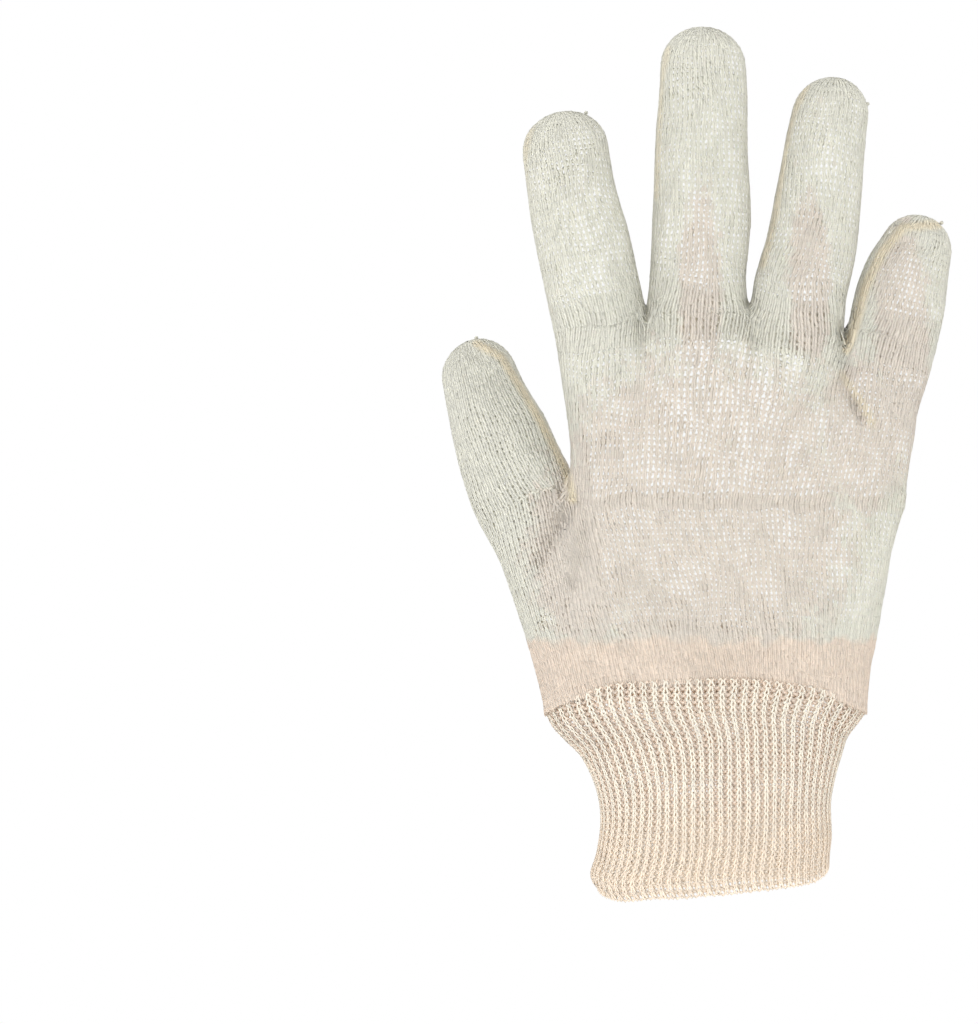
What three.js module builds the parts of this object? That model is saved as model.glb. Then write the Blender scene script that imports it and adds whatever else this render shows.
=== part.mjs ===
// Knit glove for the right hand, in the filled form that it has when worn.
// Millimetres, +Z up along the fingers, -Y towards the back of the hand, thumb at -X.
// The origin is the centre of the wrist opening. Each finger tube, the thumb tube, the hand body and the
// ribbed cuff is one knitted tube with its own wall, and they meet edge to edge with a small gap.
import * as THREE from 'three';

// Walls and gaps
const handWall = 1.2;
const cuffWall = 2.0;
const joinGap = 0.3;

// Cuff. The hem slants by cuffSlant across the wrist and lifts by hemLift at its two sides. The join
// arches up by joinArch over the back of the hand, and by palmArchShare of that on the palm's side.
const cuffLength = 49.8;
const cuffWidth = 66;
const cuffDepth = 42;
const cuffRibs = 72;
const ribHeight = 0.7;
const cuffSlant = 0.09;
const hemLift = 3.0;
const hemLiftPower = 12;
const joinArch = 8.8;
const joinArchPower = 3;
const palmArchShare = 0.5;

// Hand body
const palmLength = 115.7;
const palmWidth = 94;
const palmDepth = 40;

// Digits: length from root to tip, width and depth at the root
const indexLength = 62.3;
const middleLength = 82.0;
const ringLength = 73.2;
const littleLength = 38.1;
const thumbLength = 52.5;
const fingerWidth = 27.5;
const thumbWidth = 29.5;
const fingerDepth = 19.5;
const thumbDepth = 21.5;

// How the knitted surfaces run into each other
const fingerBlend = 0.5;
const bodyBlend = 2.6;
const roundness = 2.3;

// Height of the join above the opening at the sides of the wrist
const joinHeight = cuffLength;

// Hand body sections. along: share of palmLength above the join. centre, width: shares of palmWidth.
// depth: share of palmDepth. The step near the middle is the slack fold on the little finger's side.
const bodySections = [
  { along: -0.10, centre: -0.022, width: 0.965, depth: 1.00 },
  { along: 0.000, centre: -0.022, width: 0.966, depth: 1.00 },
  { along: 0.151, centre: -0.010, width: 0.965, depth: 0.93 },
  { along: 0.298, centre: 0.020, width: 0.972, depth: 0.87 },
  { along: 0.445, centre: 0.050, width: 0.973, depth: 0.81 },
  { along: 0.519, centre: 0.066, width: 0.970, depth: 0.78 },
  { along: 0.555, centre: 0.079, width: 1.000, depth: 0.76 },
  { along: 0.592, centre: 0.083, width: 0.992, depth: 0.74 },
  { along: 0.700, centre: 0.093, width: 1.022, depth: 0.67 },
];
const bodyCap = 0.07;

// The part that the first three fingers share, above the little finger's web. Same columns.
const upperBodySections = [
  { along: 0.560, centre: 0.010, width: 0.840, depth: 0.70 },
  { along: 0.700, centre: -0.003, width: 0.845, depth: 0.66 },
  { along: 0.800, centre: -0.020, width: 0.835, depth: 0.61 },
  { along: 0.860, centre: -0.034, width: 0.825, depth: 0.57 },
];
const upperBodyCap = 0.07;

// Digits. rootX: share of palmWidth. rootZ: share of palmLength above the join. rootY: share of palmDepth.
// lean: degrees from upright, towards +X. roll: degrees that the width turns about the digit's own line.
// stub: height of the joint between the hand body and the digit's tube, share of stubHeight.
const digits = [
  { name: 'index_finger', length: indexLength, width: fingerWidth, depth: fingerDepth,
    rootX: -0.344, rootZ: 0.946, rootY: 0.0, lean: -8.0, roll: 0, stub: 1 },
  { name: 'middle_finger', length: middleLength, width: fingerWidth, depth: fingerDepth,
    rootX: -0.048, rootZ: 0.978, rootY: 0.0, lean: 1.2, roll: 0, stub: 1 },
  { name: 'ring_finger', length: ringLength, width: fingerWidth, depth: fingerDepth,
    rootX: 0.250, rootZ: 0.934, rootY: 0.0, lean: 8.2, roll: 0, stub: 1.1 },
  { name: 'little_finger', length: littleLength, width: fingerWidth, depth: fingerDepth,
    rootX: 0.538, rootZ: 0.900, rootY: 0.03, lean: 12.2, roll: 0, stub: 1.1 },
  { name: 'thumb', length: thumbLength, width: thumbWidth, depth: thumbDepth,
    rootX: -0.556, rootZ: 0.489, rootY: 0.26, lean: -17.5, roll: -20, stub: 2.4 },
];

// Sections of each digit. along: share of the length from root to tip, less than 0 inside the hand.
// sway: sideways, share of the width. forward: towards the palm's side, share of the length.
// width and depth: shares of the digit's own.
const digitSections = {
  index_finger: [
    { along: -0.42, sway: 0.05, forward: 0.00, width: 0.84, depth: 0.92 },
    { along: 0.00, sway: 0.010, forward: 0.00, width: 0.97, depth: 1.00 },
    { along: 0.16, sway: -0.012, forward: 0.004, width: 0.99, depth: 1.00 },
    { along: 0.37, sway: -0.033, forward: 0.018, width: 0.965, depth: 0.99 },
    { along: 0.57, sway: -0.069, forward: 0.044, width: 0.925, depth: 0.96 },
    { along: 0.81, sway: -0.076, forward: 0.090, width: 0.900, depth: 0.90 },
  ],
  middle_finger: [
    { along: -0.36, sway: 0.00, forward: 0.00, width: 0.84, depth: 0.95 },
    { along: 0.00, sway: 0.00, forward: 0.00, width: 1.02, depth: 1.03 },
    { along: 0.13, sway: -0.013, forward: 0.003, width: 0.98, depth: 1.02 },
    { along: 0.33, sway: 0.026, forward: 0.014, width: 1.015, depth: 1.02 },
    { along: 0.54, sway: 0.029, forward: 0.036, width: 0.965, depth: 0.98 },
    { along: 0.85, sway: 0.015, forward: 0.088, width: 0.890, depth: 0.90 },
  ],
  ring_finger: [
    { along: -0.38, sway: 0.00, forward: 0.00, width: 0.84, depth: 0.92 },
    { along: 0.00, sway: 0.00, forward: 0.00, width: 0.97, depth: 1.00 },
    { along: 0.16, sway: -0.008, forward: 0.004, width: 0.955, depth: 1.00 },
    { along: 0.33, sway: 0.037, forward: 0.016, width: 0.915, depth: 0.97 },
    { along: 0.51, sway: 0.043, forward: 0.038, width: 0.895, depth: 0.94 },
    { along: 0.68, sway: 0.037, forward: 0.068, width: 0.855, depth: 0.91 },
    { along: 0.84, sway: 0.046, forward: 0.102, width: 0.800, depth: 0.87 },
  ],
  little_finger: [
    { along: -0.87, sway: -0.10, forward: -0.012, width: 0.78, depth: 0.84 },
    { along: -0.23, sway: 0.00, forward: 0.00, width: 0.89, depth: 0.92 },
    { along: 0.08, sway: -0.010, forward: 0.024, width: 0.935, depth: 0.92 },
    { along: 0.30, sway: -0.008, forward: 0.056, width: 0.935, depth: 0.90 },
    { along: 0.53, sway: 0.022, forward: 0.106, width: 0.870, depth: 0.86 },
    { along: 0.72, sway: 0.066, forward: 0.155, width: 0.760, depth: 0.80 },
  ],
  thumb: [
    { along: -0.88, sway: 0.035, forward: -0.120, width: 0.825, depth: 1.18 },
    { along: -0.53, sway: 0.055, forward: -0.110, width: 0.875, depth: 1.18 },
    { along: -0.19, sway: 0.062, forward: -0.055, width: 0.935, depth: 1.10 },
    { along: 0.12, sway: 0.000, forward: 0.045, width: 1.035, depth: 1.00 },
    { along: 0.27, sway: -0.022, forward: 0.105, width: 1.000, depth: 0.97 },
    { along: 0.44, sway: -0.032, forward: 0.180, width: 0.960, depth: 0.94 },
    { along: 0.58, sway: -0.048, forward: 0.245, width: 0.855, depth: 0.90 },
    { along: 0.79, sway: -0.045, forward: 0.345, width: 0.740, depth: 0.82 },
  ],
};

// Webs between the digits. x: share of palmWidth. z: share of palmLength above the join.
// y: share of palmDepth. lean: degrees. depth: share of fingerDepth at the web's edge.
const webs = [
  { x: -0.202, z: 0.945, y: 0.0, lean: -3, depth: 0.66 },
  { x: 0.108, z: 0.980, y: 0.0, lean: 4, depth: 0.66 },
  { x: 0.395, z: 0.900, y: 0.02, lean: 8, depth: 0.66 },
  { x: -0.430, z: 0.510, y: 0.13, lean: -10, depth: 0.75 },
];

// A web's tube. webWidth: share of fingerWidth. webReach: share of fingerDepth that it goes down into
// the hand. webSpread: its depth at the bottom, as a share of that at its edge. webCap: height of its
// rounded edge, as a share of its half width. webSearch: how far from the web its edge is looked for.
const webWidth = 0.40;
const webReach = 1.30;
const webSpread = 1.75;
const webCap = 0.5;
const webSearch = 10;

// Cuff sections. along: share of cuffLength from the join down. centre: share of cuffWidth. width: share of
// cuffWidth, depth: share of cuffDepth. The first row is the join, where the cuff has the hand's own size.
const cuffSections = [
  { along: 0.074, centre: -0.036, width: 1.314, depth: 0.955 },
  { along: 0.159, centre: -0.027, width: 1.212, depth: 0.935 },
  { along: 0.244, centre: -0.005, width: 1.130, depth: 0.915 },
  { along: 0.415, centre: 0.009, width: 1.036, depth: 0.90 },
  { along: 0.585, centre: 0.011, width: 0.992, depth: 0.91 },
  { along: 0.800, centre: 0.004, width: 1.012, depth: 0.95 },
  { along: 0.930, centre: -0.014, width: 1.030, depth: 0.99 },
  { along: 1.000, centre: 0.000, width: 1.000, depth: 0.97 },
];

// Height of a digit's short root on the hand body
const stubHeight = 5.0;

// How finely the surfaces are divided
const frontColumns = 5;
const sideColumns = 3;
const digitRings = 9;
const capRings = 4;
const lowerRows = 7;
const upperRows = 6;
const stubRows = 2;
const evenPasses = 12;

// How finely the tubes are stepped along, and rings measured round
const bodySteps = 14;
const digitSteps = 18;
const webSteps = 6;
const ringSteps = 720;
const alongNudge = 0.01;

// How a point is brought onto the surface
const settleRounds = 12;
const settledWithin = 1e-4;
const longestMove = 3;
const leastSlope = 0.05;
const slopeStep = 0.05;
const landingSteps = 60;
const landingHalvings = 12;
const webTries = 17;

const columnsAround = 2 * (frontColumns + sideColumns);
const degrees = THREE.MathUtils.degToRad;
const upZ = new THREE.Vector3(0, 0, 1);

// Smooth interpolation in a table of sections, for every column of it, at a share of its length.
function sectionAt(table, along) {
  const last = table.length - 1;
  let i = 0;
  while (i < last - 1 && along > table[i + 1].along) i += 1;
  const before = table[Math.max(i - 1, 0)];
  const from = table[i];
  const to = table[i + 1];
  const after = table[Math.min(i + 2, last)];
  const span = to.along - from.along;
  const s = THREE.MathUtils.clamp((along - from.along) / span, 0, 1);
  const found = {};
  for (const key of Object.keys(from)) {
    const slopeFrom = (to[key] - before[key]) / Math.max(to.along - before.along, 1e-6);
    const slopeTo = (after[key] - from[key]) / Math.max(after.along - from.along, 1e-6);
    const a = 2 * s ** 3 - 3 * s ** 2 + 1;
    const b = s ** 3 - 2 * s ** 2 + s;
    const c = -2 * s ** 3 + 3 * s ** 2;
    const d = s ** 3 - s ** 2;
    found[key] = a * from[key] + b * span * slopeFrom + c * to[key] + d * span * slopeTo;
  }
  return found;
}

// A tube is a row of stations. Each has a centre, a frame (across, through, up), half width and half depth.
// The last station carries a rounded end of height cap.
function bodyStation(table, along) {
  const row = sectionAt(table, along);
  return {
    centre: new THREE.Vector3(row.centre * palmWidth, 0, joinHeight + along * palmLength),
    across: new THREE.Vector3(1, 0, 0),
    through: new THREE.Vector3(0, 1, 0),
    up: new THREE.Vector3(0, 0, 1),
    half: row.width * palmWidth / 2,
    deep: row.depth * palmDepth / 2,
  };
}

function stationsAlong(table, steps, stationAt) {
  const first = table[0].along;
  const last = table[table.length - 1].along;
  return Array.from({ length: steps + 1 }, (_, i) => stationAt(first + (last - first) * (i / steps)));
}

function bodyTube(table, capShare) {
  const stations = stationsAlong(table, bodySteps, (along) => bodyStation(table, along));
  return { stations, cap: capShare * palmLength, foot: Infinity };
}

// The point and frame of a digit at a share of its length from the root.
function digitStation(digit, along) {
  const table = digitSections[digit.name];
  const row = sectionAt(table, along);
  const lean = degrees(digit.lean);
  const rise = sectionAt(table, along + alongNudge).forward - sectionAt(table, along - alongNudge).forward;
  const chord = new THREE.Vector3(Math.sin(lean), 0, Math.cos(lean));
  const sideways = new THREE.Vector3(Math.cos(lean), 0, -Math.sin(lean));
  const up = chord.clone().add(new THREE.Vector3(0, rise / (2 * alongNudge), 0)).normalize();
  const across = sideways.clone().applyAxisAngle(up, degrees(digit.roll));
  across.addScaledVector(up, -across.dot(up)).normalize();
  const through = new THREE.Vector3().crossVectors(up, across);
  const centre = new THREE.Vector3(
    digit.rootX * palmWidth,
    digit.rootY * palmDepth + row.forward * digit.length,
    joinHeight + digit.rootZ * palmLength,
  );
  centre.addScaledVector(chord, along * digit.length);
  centre.addScaledVector(sideways, row.sway * digit.width);
  return {
    centre, across, through, up,
    half: row.width * digit.width / 2,
    deep: row.depth * digit.depth / 2,
  };
}

function digitTube(digit) {
  const table = digitSections[digit.name];
  const stations = stationsAlong(table, digitSteps, (along) => digitStation(digit, along));
  const last = table[table.length - 1].along;
  return { stations, cap: (1 - last) * digit.length, foot: digit.width / 2, last };
}

// The web's tube stands below its edge, narrow at the top and spreading into the hand.
function webTube(web) {
  const lean = degrees(web.lean);
  const up = new THREE.Vector3(Math.sin(lean), 0, Math.cos(lean));
  const across = new THREE.Vector3(Math.cos(lean), 0, -Math.sin(lean));
  const through = new THREE.Vector3(0, 1, 0);
  const half = webWidth * fingerWidth / 2;
  const deep = web.depth * fingerDepth / 2;
  const cap = half * webCap;
  const top = new THREE.Vector3(web.x * palmWidth, web.y * palmDepth, joinHeight + web.z * palmLength);
  const stations = [];
  for (let i = 0; i <= webSteps; i += 1) {
    const down = 1 - i / webSteps;
    stations.push({
      centre: top.clone().addScaledVector(up, -cap - down * webReach * fingerDepth),
      across, through, up, half,
      deep: deep * (1 + (webSpread - 1) * down),
    });
  }
  return { stations, cap, foot: Infinity, top };
}

// About how far a point lies outside a tube's surface, less than 0 inside.
function tubeDistance(tube, point) {
  const { stations, cap, foot } = tube;
  let best = Infinity;
  let bestIndex = 0;
  let bestShare = 0;
  for (let i = 0; i + 1 < stations.length; i += 1) {
    const a = stations[i].centre;
    const b = stations[i + 1].centre;
    const dx = b.x - a.x;
    const dy = b.y - a.y;
    const dz = b.z - a.z;
    const dot = (point.x - a.x) * dx + (point.y - a.y) * dy + (point.z - a.z) * dz;
    const share = THREE.MathUtils.clamp(dot / (dx * dx + dy * dy + dz * dz), 0, 1);
    const gapX = point.x - a.x - share * dx;
    const gapY = point.y - a.y - share * dy;
    const gapZ = point.z - a.z - share * dz;
    const distance = gapX * gapX + gapY * gapY + gapZ * gapZ;
    if (distance < best) {
      best = distance;
      bestIndex = i;
      bestShare = share;
    }
  }
  const a = stations[bestIndex];
  const b = stations[bestIndex + 1];
  const offset = point.clone().sub(a.centre.clone().lerp(b.centre, bestShare));
  const across = a.across.clone().lerp(b.across, bestShare);
  const through = a.through.clone().lerp(b.through, bestShare);
  const half = THREE.MathUtils.lerp(a.half, b.half, bestShare);
  const deep = THREE.MathUtils.lerp(a.deep, b.deep, bestShare);
  const pastEnd = bestIndex + 2 === stations.length && bestShare === 1;
  const beforeStart = bestIndex === 0 && bestShare === 0;
  const beyond = pastEnd ? Math.max(offset.dot(b.up), 0) / cap : 0;
  const below = beforeStart ? Math.max(-offset.dot(a.up), 0) / foot : 0;
  const u = Math.abs(offset.dot(across)) / half;
  const v = Math.abs(offset.dot(through)) / deep;
  const w = Math.max(beyond, below);
  const sum = Math.max(u ** roundness + v ** roundness + w ** roundness, 1e-9);
  const level = sum ** (1 / roundness);
  const shared = sum ** (1 / roundness - 1);
  const slope = Math.hypot(
    shared * u ** (roundness - 1) / half,
    shared * v ** (roundness - 1) / deep,
    shared * w ** (roundness - 1) / (beyond > below ? cap : foot),
  );
  return (level - 1) / Math.max(slope, 0.5 / half);
}

function softMin(distances, blend) {
  const least = Math.min(...distances);
  let sum = 0;
  for (const distance of distances) sum += Math.exp((least - distance) / blend);
  return least - blend * Math.log(sum);
}

const tubes = {
  body: bodyTube(bodySections, bodyCap),
  upperBody: bodyTube(upperBodySections, upperBodyCap),
};
for (const digit of digits) tubes[digit.name] = digitTube(digit);
const webTubes = webs.map(webTube);
const fingers = digits.slice(0, 4);
const thumb = digits[4];

// Level function of the whole hand: 0 on its outer surface.
function handLevel(point) {
  const fingerPart = softMin(fingers.map((digit) => tubeDistance(tubes[digit.name], point)), fingerBlend);
  const bodyPart = softMin([
    tubeDistance(tubes.body, point),
    tubeDistance(tubes.upperBody, point),
    tubeDistance(tubes.thumb, point),
    ...webTubes.map((tube) => tubeDistance(tube, point)),
  ], bodyBlend / 2);
  return softMin([fingerPart, bodyPart], bodyBlend / 2);
}

function handSlope(point) {
  const slope = (axis) => {
    const ahead = point.clone();
    const behind = point.clone();
    ahead[axis] += slopeStep;
    behind[axis] -= slopeStep;
    return (handLevel(ahead) - handLevel(behind)) / (2 * slopeStep);
  };
  return new THREE.Vector3(slope('x'), slope('y'), slope('z'));
}

// Moves a guess onto the hand's outer surface, and within one plane if its upright is given.
function settle(guess, upright) {
  const point = guess.clone();
  const slopeHere = () => {
    const slope = handSlope(point);
    return upright ? slope.projectOnPlane(upright) : slope;
  };
  for (let i = 0; i < settleRounds; i += 1) {
    const level = handLevel(point);
    if (Math.abs(level) < settledWithin) break;
    const slope = slopeHere();
    const move = -level / Math.max(slope.lengthSq(), leastSlope);
    point.addScaledVector(slope, THREE.MathUtils.clamp(move, -longestMove, longestMove));
  }
  point.facing = slopeHere().normalize();
  return point;
}

// Points of one ring of a tube, as angles from the front left corner: front, right side, back, left side.
function ringAngles() {
  const step = 2 * Math.PI / columnsAround;
  const corner = Math.PI - sideColumns * step / 2;
  return Array.from({ length: columnsAround }, (_, i) => corner - i * step);
}

function superPoint(station, angle, scale = 1) {
  const c = Math.cos(angle);
  const s = Math.sin(angle);
  const reach = 1 / (Math.abs(c) ** roundness + Math.abs(s) ** roundness) ** (1 / roundness);
  return station.centre.clone()
    .addScaledVector(station.across, c * reach * station.half * scale)
    .addScaledVector(station.through, -s * reach * station.deep * scale);
}

// Outward direction of a section at one of its points.
function facingOf(station, point) {
  const offset = point.clone().sub(station.centre);
  const u = offset.dot(station.across) / station.half;
  const v = offset.dot(station.through) / station.deep;
  return new THREE.Vector3()
    .addScaledVector(station.across, Math.sign(u) * Math.abs(u) ** (roundness - 1) / station.half)
    .addScaledVector(station.through, Math.sign(v) * Math.abs(v) ** (roundness - 1) / station.deep)
    .normalize();
}

function digitRing(digit, along) {
  const station = digitStation(digit, along);
  return ringAngles().map((angle) => settle(superPoint(station, angle), station.up));
}

// Splits a ring into its four sides, corner to corner, with frontCount columns on the front and on the back.
function sides(ring, frontCount) {
  const right = frontCount + sideColumns;
  const back = right + frontCount;
  return {
    front: ring.slice(0, frontCount + 1),
    right: ring.slice(frontCount, right + 1),
    back: ring.slice(right, back + 1),
    left: [...ring.slice(back), ring[0]],
  };
}

// Closed ring from the four sides, without the repeated corners.
function joined({ front, right, back, left }) {
  return [...front.slice(0, -1), ...right.slice(0, -1), ...back.slice(0, -1), ...left.slice(0, -1)];
}

// Where a point let down along the web's line lands on the surface.
function landing(tube, sideways, through) {
  const { up } = tube.stations[0];
  const start = tube.top.clone().add(new THREE.Vector3(sideways, through, 0));
  let high = webSearch;
  let low = -webSearch;
  for (let i = 0; i < landingSteps; i += 1) {
    const height = webSearch - 2 * webSearch * i / landingSteps;
    if (handLevel(start.clone().addScaledVector(up, height)) < 0) {
      low = height;
      break;
    }
    high = height;
  }
  for (let i = 0; i < landingHalvings; i += 1) {
    const middle = (high + low) / 2;
    if (handLevel(start.clone().addScaledVector(up, middle)) < 0) low = middle;
    else high = middle;
  }
  return start.addScaledVector(up, high);
}

// The web's edge from front to back: the lowest landings between two neighbouring digits.
function webLine(web, tube) {
  const deep = tube.stations[tube.stations.length - 1].deep;
  const points = [];
  for (let i = 0; i <= sideColumns; i += 1) {
    const through = (2 * i / sideColumns - 1) * deep;
    const tries = Array.from({ length: webTries }, (_, k) => {
      const side = 2 * k / (webTries - 1) - 1;
      return landing(tube, side * webSearch / 3, through);
    });
    tries.sort((p, q) => p.z - q.z);
    points.push(settle(tries[0]));
  }
  return points;
}

// Even points round one section of the body, in the order front, right, back, left.
function bodyRing(height, frontCount) {
  const station = bodyStation(bodySections, (height - joinHeight) / palmLength);
  const lengths = [0];
  const at = (i) => superPoint(station, Math.PI - 2 * Math.PI * i / ringSteps);
  for (let i = 1; i <= ringSteps; i += 1) lengths.push(lengths[i - 1] + at(i).distanceTo(at(i - 1)));
  const count = 2 * (frontCount + sideColumns);
  const points = [];
  for (let k = 0; k < count; k += 1) {
    const target = lengths[ringSteps] * ((k + sideColumns / 2) % count) / count;
    let i = 1;
    while (lengths[i] < target) i += 1;
    const share = (target - lengths[i - 1]) / (lengths[i] - lengths[i - 1]);
    points.push(at(i - 1 + share));
  }
  return points;
}

// How far the join round the wrist arches up at a point.
const joinStation = bodyStation(bodySections, 0);

function joinRise(point) {
  const side = (point.x - joinStation.centre.x) / joinStation.half;
  const share = Math.max(1 - Math.abs(side) ** joinArchPower, 0);
  return joinArch * share * (point.y < 0 ? 1 : palmArchShare);
}

// Guides for the body's rows: the wrist, the level of the thumb's web and the level of the finger webs.
const webLines = webs.map((web, i) => webLine(web, webTubes[i]));
const fingerRoots = fingers.map((digit) => sides(digitRing(digit, 0), frontColumns));
const thumbRoot = sides(digitRing(thumb, 0), frontColumns);
const fourFront = 4 * frontColumns;
const fiveFront = 5 * frontColumns;

function fingerLevel() {
  const front = [];
  const back = [];
  fingerRoots.forEach((root, i) => {
    const f = [...root.front];
    const b = [...root.back];
    if (i > 0) {
      f[0] = webLines[i - 1][0];
      b[b.length - 1] = webLines[i - 1][sideColumns];
    }
    if (i < 3) {
      f[f.length - 1] = webLines[i][0];
      b[0] = webLines[i][sideColumns];
    }
    front.push(...(i ? f.slice(1) : f));
    back.unshift(...(i ? b.slice(0, -1) : b));
  });
  return { front, right: fingerRoots[3].right, back, left: fingerRoots[0].left };
}

function thumbLevel() {
  const height = webTubes[3].top.z;
  const ring = sides(bodyRing(height, fourFront).map((p) => settle(p)), fourFront);
  const line = webLines[3];
  ring.front[0] = line[0];
  ring.back[ring.back.length - 1] = line[sideColumns];
  ring.left = [...line].reverse();
  const root = { ...thumbRoot, front: [...thumbRoot.front], back: [...thumbRoot.back] };
  root.front[frontColumns] = line[0];
  root.back[0] = line[sideColumns];
  root.right = line;
  return { hand: ring, thumb: root };
}

const knuckles = fingerLevel();
const thumbSplit = thumbLevel();
const fiveLevel = {
  front: [...thumbSplit.thumb.front, ...thumbSplit.hand.front.slice(1)],
  right: thumbSplit.hand.right,
  back: [...thumbSplit.hand.back, ...thumbSplit.thumb.back.slice(1)],
  left: thumbSplit.thumb.left,
};

function wristRing() {
  const ring = bodyRing(joinHeight, fiveFront);
  for (const point of ring) point.z += joinRise(point) + joinGap / 2;
  return ring.map((point) => settle(point, upZ));
}

const wrist = wristRing();

// Height of the hand body's lower edge above a point of the wrist.
function wristHeight(point) {
  const edge = wrist.filter((p) => (p.y < 0) === (point.y < 0)).sort((p, q) => p.x - q.x);
  if (point.x <= edge[0].x) return edge[0].z;
  const next = edge.findIndex((p) => p.x > point.x);
  if (next < 0) return edge[edge.length - 1].z;
  const share = (point.x - edge[next - 1].x) / (edge[next].x - edge[next - 1].x);
  return THREE.MathUtils.lerp(edge[next - 1].z, edge[next].z, share);
}

// A mesh under construction: outer points, and inner points one wall inside them.
class Shell {
  constructor() {
    this.points = [];
    this.index = new Map();
    this.quads = [];
  }

  vertex(point) {
    const key = `${point.x.toFixed(3)},${point.y.toFixed(3)},${point.z.toFixed(3)}`;
    if (!this.index.has(key)) {
      this.index.set(key, this.points.length);
      this.points.push(point);
    }
    return this.index.get(key);
  }

  // Quads between two closed rings of points, seen from outside with the second ring above the first.
  strip(lower, upper) {
    for (let i = 0; i < lower.length; i += 1) {
      const j = (i + 1) % lower.length;
      this.quads.push([lower[i], lower[j], upper[j], upper[i]].map((p) => this.vertex(p)));
    }
  }

  fan(ring, pole) {
    for (let i = 0; i < ring.length; i += 1) {
      const j = (i + 1) % ring.length;
      this.quads.push([ring[i], ring[j], pole].map((p) => this.vertex(p)));
    }
  }

  // Spreads the loose points evenly over the surface.
  even() {
    const near = this.points.map(() => new Set());
    for (const face of this.quads) {
      face.forEach((v, i) => near[v].add(face[(i + 1) % face.length]));
      face.forEach((v, i) => near[face[(i + 1) % face.length]].add(v));
    }
    for (let pass = 0; pass < evenPasses; pass += 1) {
      this.points.forEach((point, i) => {
        if (!point.loose) return;
        const middle = new THREE.Vector3();
        near[i].forEach((v) => middle.addScaledVector(this.points[v], 1 / near[i].size));
        const moved = settle(middle);
        moved.loose = true;
        this.points[i] = moved;
      });
    }
  }

  // Closed solid: the outer faces, the inner faces turned round and a rim along every free edge.
  geometry(wall) {
    const count = this.points.length;
    const inner = this.points.map((p) => p.clone().addScaledVector(p.facing, -wall));
    const triangles = [];
    const edges = new Map();
    for (const face of this.quads) {
      const corners = face.filter((v, i) => v !== face[(i + 1) % face.length]);
      for (let i = 1; i + 1 < corners.length; i += 1) {
        const [a, b, c] = [corners[0], corners[i], corners[i + 1]];
        triangles.push([a, b, c], [a + count, c + count, b + count]);
      }
      corners.forEach((a, i) => {
        const b = corners[(i + 1) % corners.length];
        if (edges.has(`${b},${a}`)) edges.delete(`${b},${a}`);
        else edges.set(`${a},${b}`, [a, b]);
      });
    }
    for (const [a, b] of edges.values()) {
      triangles.push([b, a, a + count], [b, a + count, b + count]);
    }
    return solidGeometry([...this.points, ...inner], triangles);
  }
}

function solidGeometry(points, triangles) {
  const geometry = new THREE.BufferGeometry();
  const flat = points.flatMap((p) => [p.x, p.y, p.z]);
  geometry.setAttribute('position', new THREE.Float32BufferAttribute(flat, 3));
  geometry.setIndex(triangles.flat());
  geometry.computeVertexNormals();
  return geometry;
}

// Points between two rows, which may still move over the surface.
function rowBetween(lower, upper, share) {
  return lower.map((point, i) => {
    const between = settle(point.clone().lerp(upper[i], share));
    between.loose = true;
    return between;
  });
}

function handBodyShell() {
  const shell = new Shell();
  const rowsUp = (bottom, top, count) => {
    let below = bottom;
    for (let i = 1; i <= count; i += 1) {
      const next = i === count ? top : rowBetween(bottom, top, i / count);
      shell.strip(below, next);
      below = next;
    }
  };
  rowsUp(wrist, joined(fiveLevel), lowerRows);
  rowsUp(joined(thumbSplit.hand), joined(knuckles), upperRows);
  const stub = (digit, root) => {
    let below = root;
    for (let i = 1; i <= stubRows; i += 1) {
      const height = digit.stub * stubHeight * i / stubRows - (i === stubRows ? joinGap / 2 : 0);
      const next = digitRing(digit, height / digit.length);
      shell.strip(below, next);
      below = next;
    }
  };
  fingers.forEach((digit, i) => {
    const root = {
      ...fingerRoots[i],
      front: knuckles.front.slice(i * frontColumns, (i + 1) * frontColumns + 1),
      back: knuckles.back.slice((3 - i) * frontColumns, (4 - i) * frontColumns + 1),
      left: i > 0 ? [...webLines[i - 1]].reverse() : fingerRoots[0].left,
      right: i < 3 ? webLines[i] : fingerRoots[3].right,
    };
    stub(digit, joined(root));
  });
  stub(thumb, joined(thumbSplit.thumb));
  shell.even();
  return shell;
}

function digitShell(digit) {
  const shell = new Shell();
  const tube = tubes[digit.name];
  const start = (digit.stub * stubHeight + joinGap / 2) / digit.length;
  let row = digitRing(digit, start);
  for (let i = 1; i <= digitRings; i += 1) {
    const next = digitRing(digit, start + (tube.last - start) * (i / digitRings));
    shell.strip(row, next);
    row = next;
  }
  const end = digitStation(digit, tube.last);
  for (let i = 1; i < capRings; i += 1) {
    const angle = (Math.PI / 2) * (i / capRings);
    const centre = end.centre.clone().addScaledVector(end.up, Math.sin(angle) * tube.cap);
    const station = { ...end, centre };
    const next = ringAngles().map((a) => settle(superPoint(station, a, Math.cos(angle))));
    shell.strip(row, next);
    row = next;
  }
  shell.fan(row, settle(end.centre.clone().addScaledVector(end.up, tube.cap)));
  return shell;
}

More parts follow.
